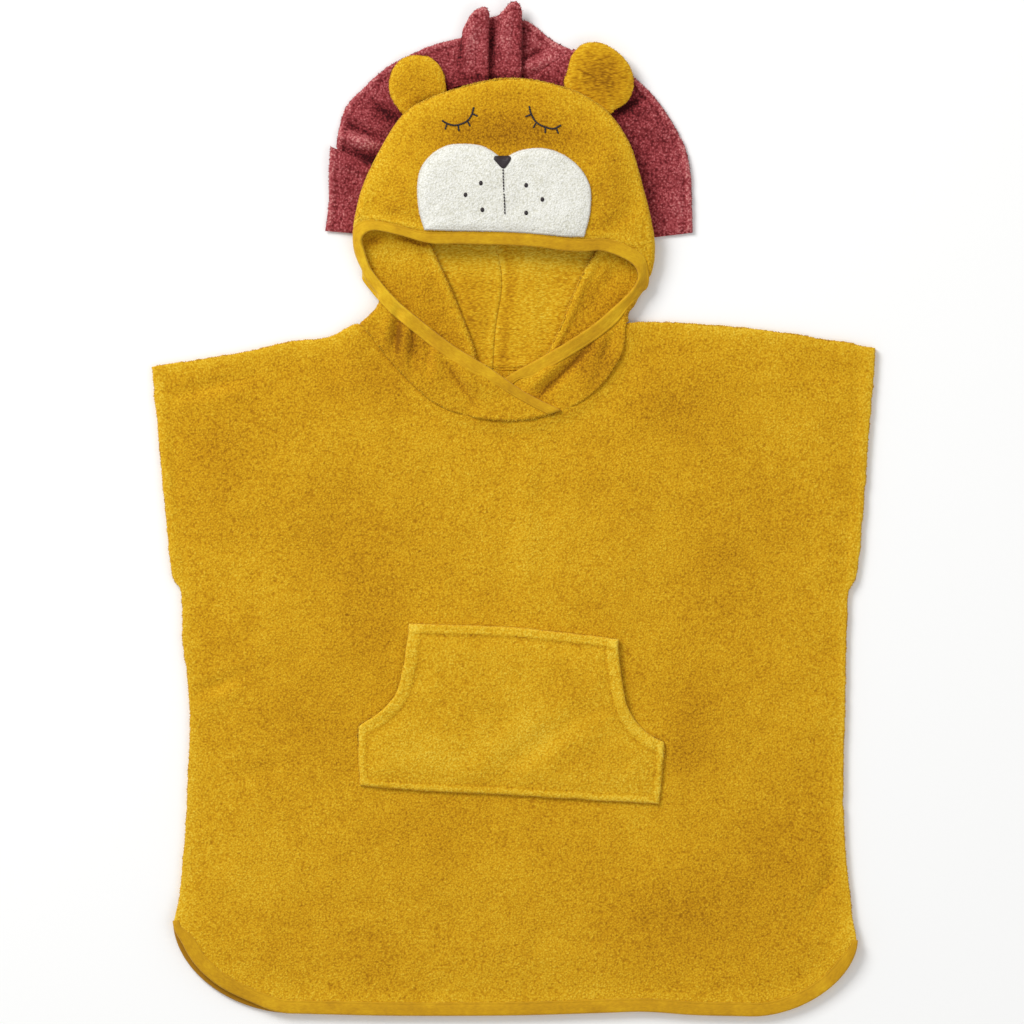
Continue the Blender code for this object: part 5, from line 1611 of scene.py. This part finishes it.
def pileFringe(name, line, outward, stuff, seed, lift=0.5, rows=2, tone=(-0.5, 0.9)):
    # loops that stand out along an edge: short tapered tufts, each turned a little from the outward step
    random = np.random.default_rng(seed)
    reached = lineLengths(line)
    count = int(reached[-1] / pile["gap"]) * rows
    wanted = random.uniform(0.0, reached[-1], count)
    foot = np.stack([np.interp(wanted, reached, line[:, k]) for k in range(3)], axis=1)
    away = np.stack([np.interp(wanted, reached, outward[:, k]) for k in range(3)], axis=1)
    foot = foot - away * pile["rootInset"]
    foot[:, 2] += random.uniform(-lift, lift, count)
    side = unit(np.cross(away, (0.0, 0.0, 1.0)))
    turn = random.normal(0.0, pile["spread"], (count, 2))
    along = unit(away + side * turn[:, :1] + np.array((0.0, 0.0, 0.5)) * turn[:, 1:])
    length = random.uniform(*pile["length"], count)[:, None, None]
    share = np.array((-0.5, 0.1, 0.6, 1.0))[None, :, None]
    bend = side[:, None] * (share**2) * random.normal(0.0, 0.35, count)[:, None, None]
    places = foot[:, None] + along[:, None] * share * length + bend
    across = unit(np.cross(along, (0.3, 0.2, 0.93)))
    up = np.cross(across, along)
    size = pile["radius"] * np.array((0.8, 1.0, 0.85, 0.3))[None, :, None, None]
    rings = ringsRound(places, across[:, None], up[:, None], 3, size)
    piece = makeSpindles(name, rings, stuff)
    addTone(piece, np.repeat(random.uniform(*tone, count), 12))
    return len(piece.data.polygons)


def planFringe(name, line, height, stuff, seed, middle, **more):
    # tufts round a plan line at a height, outwards being the side away from the poncho's middle
    line = everyFew(line, 2.0)
    step = leftOf(line)
    spots = np.column_stack([line, np.broadcast_to(height, len(line))])
    sign = np.sign((step * (line - middle)).sum(axis=1))[:, None]
    outward = np.column_stack([step * sign, np.zeros(len(line))])
    return pileFringe(name, spots, outward, stuff, seed, **more)


def outwardOf(spots, middle, rise):
    # unit steps square to a line of points, away from a middle and tilted up by a share
    away = leftOf(spots)
    away = away * np.sign((away * (spots[:, :2] - middle)).sum(axis=1))[:, None]
    return unit(np.column_stack([away, np.full(len(away), rise)]))


def maneOutline(name):
    # a mane piece's outer edge, and the steps out from its inner one
    rows = everyFew(throughPoints(mane[name], mane["perSpan"]), 2.0)
    return rows[:, 3:], unit(rows[:, 3:] - rows[:, :3])


def makeFringes():
    # the tufts of every edge that shows, each edge with the material of its own cloth
    total = 0
    for side, height, rows in (("front", 4.3, 2), ("back", 1.5, 1)):
        top, left, right = bodySides(side)[1:]
        shoulders = [top[top[:, 0] < body["neckEnds"][0]], top[top[:, 0] > body["neckEnds"][1]]]
        for index, line in enumerate((left, right, *shoulders)):
            name = f"body{side.capitalize()}Pile{index}"
            total += planFringe(
                name, line[3:-1], height, terryMustard, 200 + index, rows=rows, middle=(0.0, 300.0),
            )
    for index, name in enumerate(mane["flats"]):
        spots, away = maneOutline(name)
        total += pileFringe(f"manePile{index}", spots, away, terryRed, 220 + index, lift=1.2)

    # the hood's tufts take a paler tone range: painted light on tufts that stand in the roll's shade
    for index, (column, rise) in enumerate(((hood["rollColumns"] // 2, 2.2), (2, 0.9))):
        spots = hoodGrid[4:-4, hood["topEnd"] + column] + (0.0, 0.0, rise)
        away = outwardOf(spots, (-9.0, 700.0), 0.25)
        name = f"hoodPile{index}"
        total += pileFringe(
            name, spots + away, away, terryMustard, 240 + index, lift=1.0, tone=(0.3, 1.5),
        )
    for index, name in enumerate(("ear_left", "ear_right")):
        ear = ears[name]
        line = everyFew(throughPoints(ear["outline"], 10, closed=True), 1.5, closed=True)
        line = np.vstack([line, line[:1]])
        stuff = terryRows if index else terryMustard
        total += planFringe(
            f"earPile{index}", line, ear["floor"] + 2.6, stuff, 250 + index, middle=ear["middle"],
        )

    # the hood's lower edge, where it is sewn on
    inside = neckFront + leftOf(neckFront) * 2.0
    spots = np.column_stack([neckFront, faceTop.at(inside[:, 0], inside[:, 1]) - 1.2])
    total += pileFringe(
        "neckPile", spots, outwardOf(spots, (0.0, 640.0), -0.1), terryMustard, 260, lift=1.2,
    )
    # the turned-in wings' ends, where they show in the opening
    ends = hoodGrid[:, -1]
    step = unit(ends - hoodGrid[:, -4])
    for index, part in enumerate(halves):
        shown = ends[part, 1] < hood["openingTop"]
        spots = ends[part][shown] + (0.0, 0.0, 1.2)
        total += pileFringe(
            f"wingPile{index}", spots, step[part][shown], terryMustard, 262 + index, lift=1.0,
        )
    # the muzzle's and the pocket's edges
    line = muzzleLine(1.5)
    line = np.vstack([line, line[:1]])
    spots = onFace(line, -0.9)
    total += pileFringe("muzzlePile", spots, outwardOf(spots, (-9.0, 706.0), 0.2), terryWhite, 268)
    turns = {"bottom": 1, "right": 1, "top": -1, "left": -1}
    line = np.vstack([throughPoints(pocket[key], 8)[::turn] for key, turn in turns.items()])
    line = everyFew(line, 2.0)
    spots = np.column_stack([line, bodyTop(line[:, 0], line[:, 1]) + 1.6])
    total += pileFringe(
        "pocketPile", spots, outwardOf(spots, (0.0, 250.0), 0.2), terryMustard, 270, rows=1,
    )
    print("pile", total, "faces")


makeFringes()
print("face made")


# The room, its light and the camera.

room = {
    "floorHalf": 6.0, "floorDrop": 0.0006, "sensor": 36.0, "clipEnd": 50.0, "cameraHeight": 5.862,
    "lens": 240.0, "aimX": -0.0013, "aimY": -0.0026, "worldLight": 0.49, "keyPower": 158.0,
    "keySize": 2.0, "keyPlace": (-2.45, 2.6, 2.75), "fillPower": 12.0, "fillPlace": (1.6, -0.8, 2.4),
}


def areaLight(name, place, size, power):
    # a square soft box aimed at the middle of the poncho
    light = bpy.data.lights.new(name, "AREA")
    light.size = size
    light.energy = power
    lamp = bpy.data.objects.new(name, light)
    lamp.location = place
    towards = -np.array(place)
    flat = math.hypot(towards[0], towards[1])
    lamp.rotation_euler = (
        math.atan2(flat, -towards[2]), 0.0, math.atan2(towards[1], towards[0]) - math.pi / 2,
    )
    bpy.context.collection.objects.link(lamp)


def makeRoom():
    # a pale floor just under the cloth, even light from all round, two soft boxes and the camera overhead
    mesh = bpy.data.meshes.new("floor")
    half, drop = room["floorHalf"], room["floorDrop"]
    corners = [(a * half, b * half, -drop) for a, b in ((-1, -1), (1, -1), (1, 1), (-1, 1))]
    mesh.from_pydata(corners, [], [(0, 1, 2, 3)])
    floor = bpy.data.objects.new("floor", mesh)
    bpy.context.collection.objects.link(floor)
    material, tree, shader = newMaterial("paleFloor")
    setInputs(tree, shader, {"Base Color": srgb("#fdfdfc"), "Roughness": 0.9})
    mesh.materials.append(material)

    world = bpy.data.worlds.new("softRoom")
    bpy.context.scene.world = world
    world.use_nodes = True
    light = {"Color": srgb("#ffffff"), "Strength": room["worldLight"]}
    setInputs(world.node_tree, world.node_tree.nodes["Background"], light)
    areaLight("keyLight", room["keyPlace"], room["keySize"], room["keyPower"])
    areaLight("fillLight", room["fillPlace"], room["keySize"], room["fillPower"])

    camera = bpy.data.cameras.new("camera")
    camera.lens = room["lens"]
    camera.sensor_width = room["sensor"]
    camera.clip_end = room["clipEnd"]
    eye = bpy.data.objects.new("camera", camera)
    eye.location = (room["aimX"], room["aimY"], room["cameraHeight"])
    bpy.context.collection.objects.link(eye)
    bpy.context.scene.camera = eye
    bpy.context.scene.view_settings.view_transform = "Standard"


makeRoom()
print("room made")
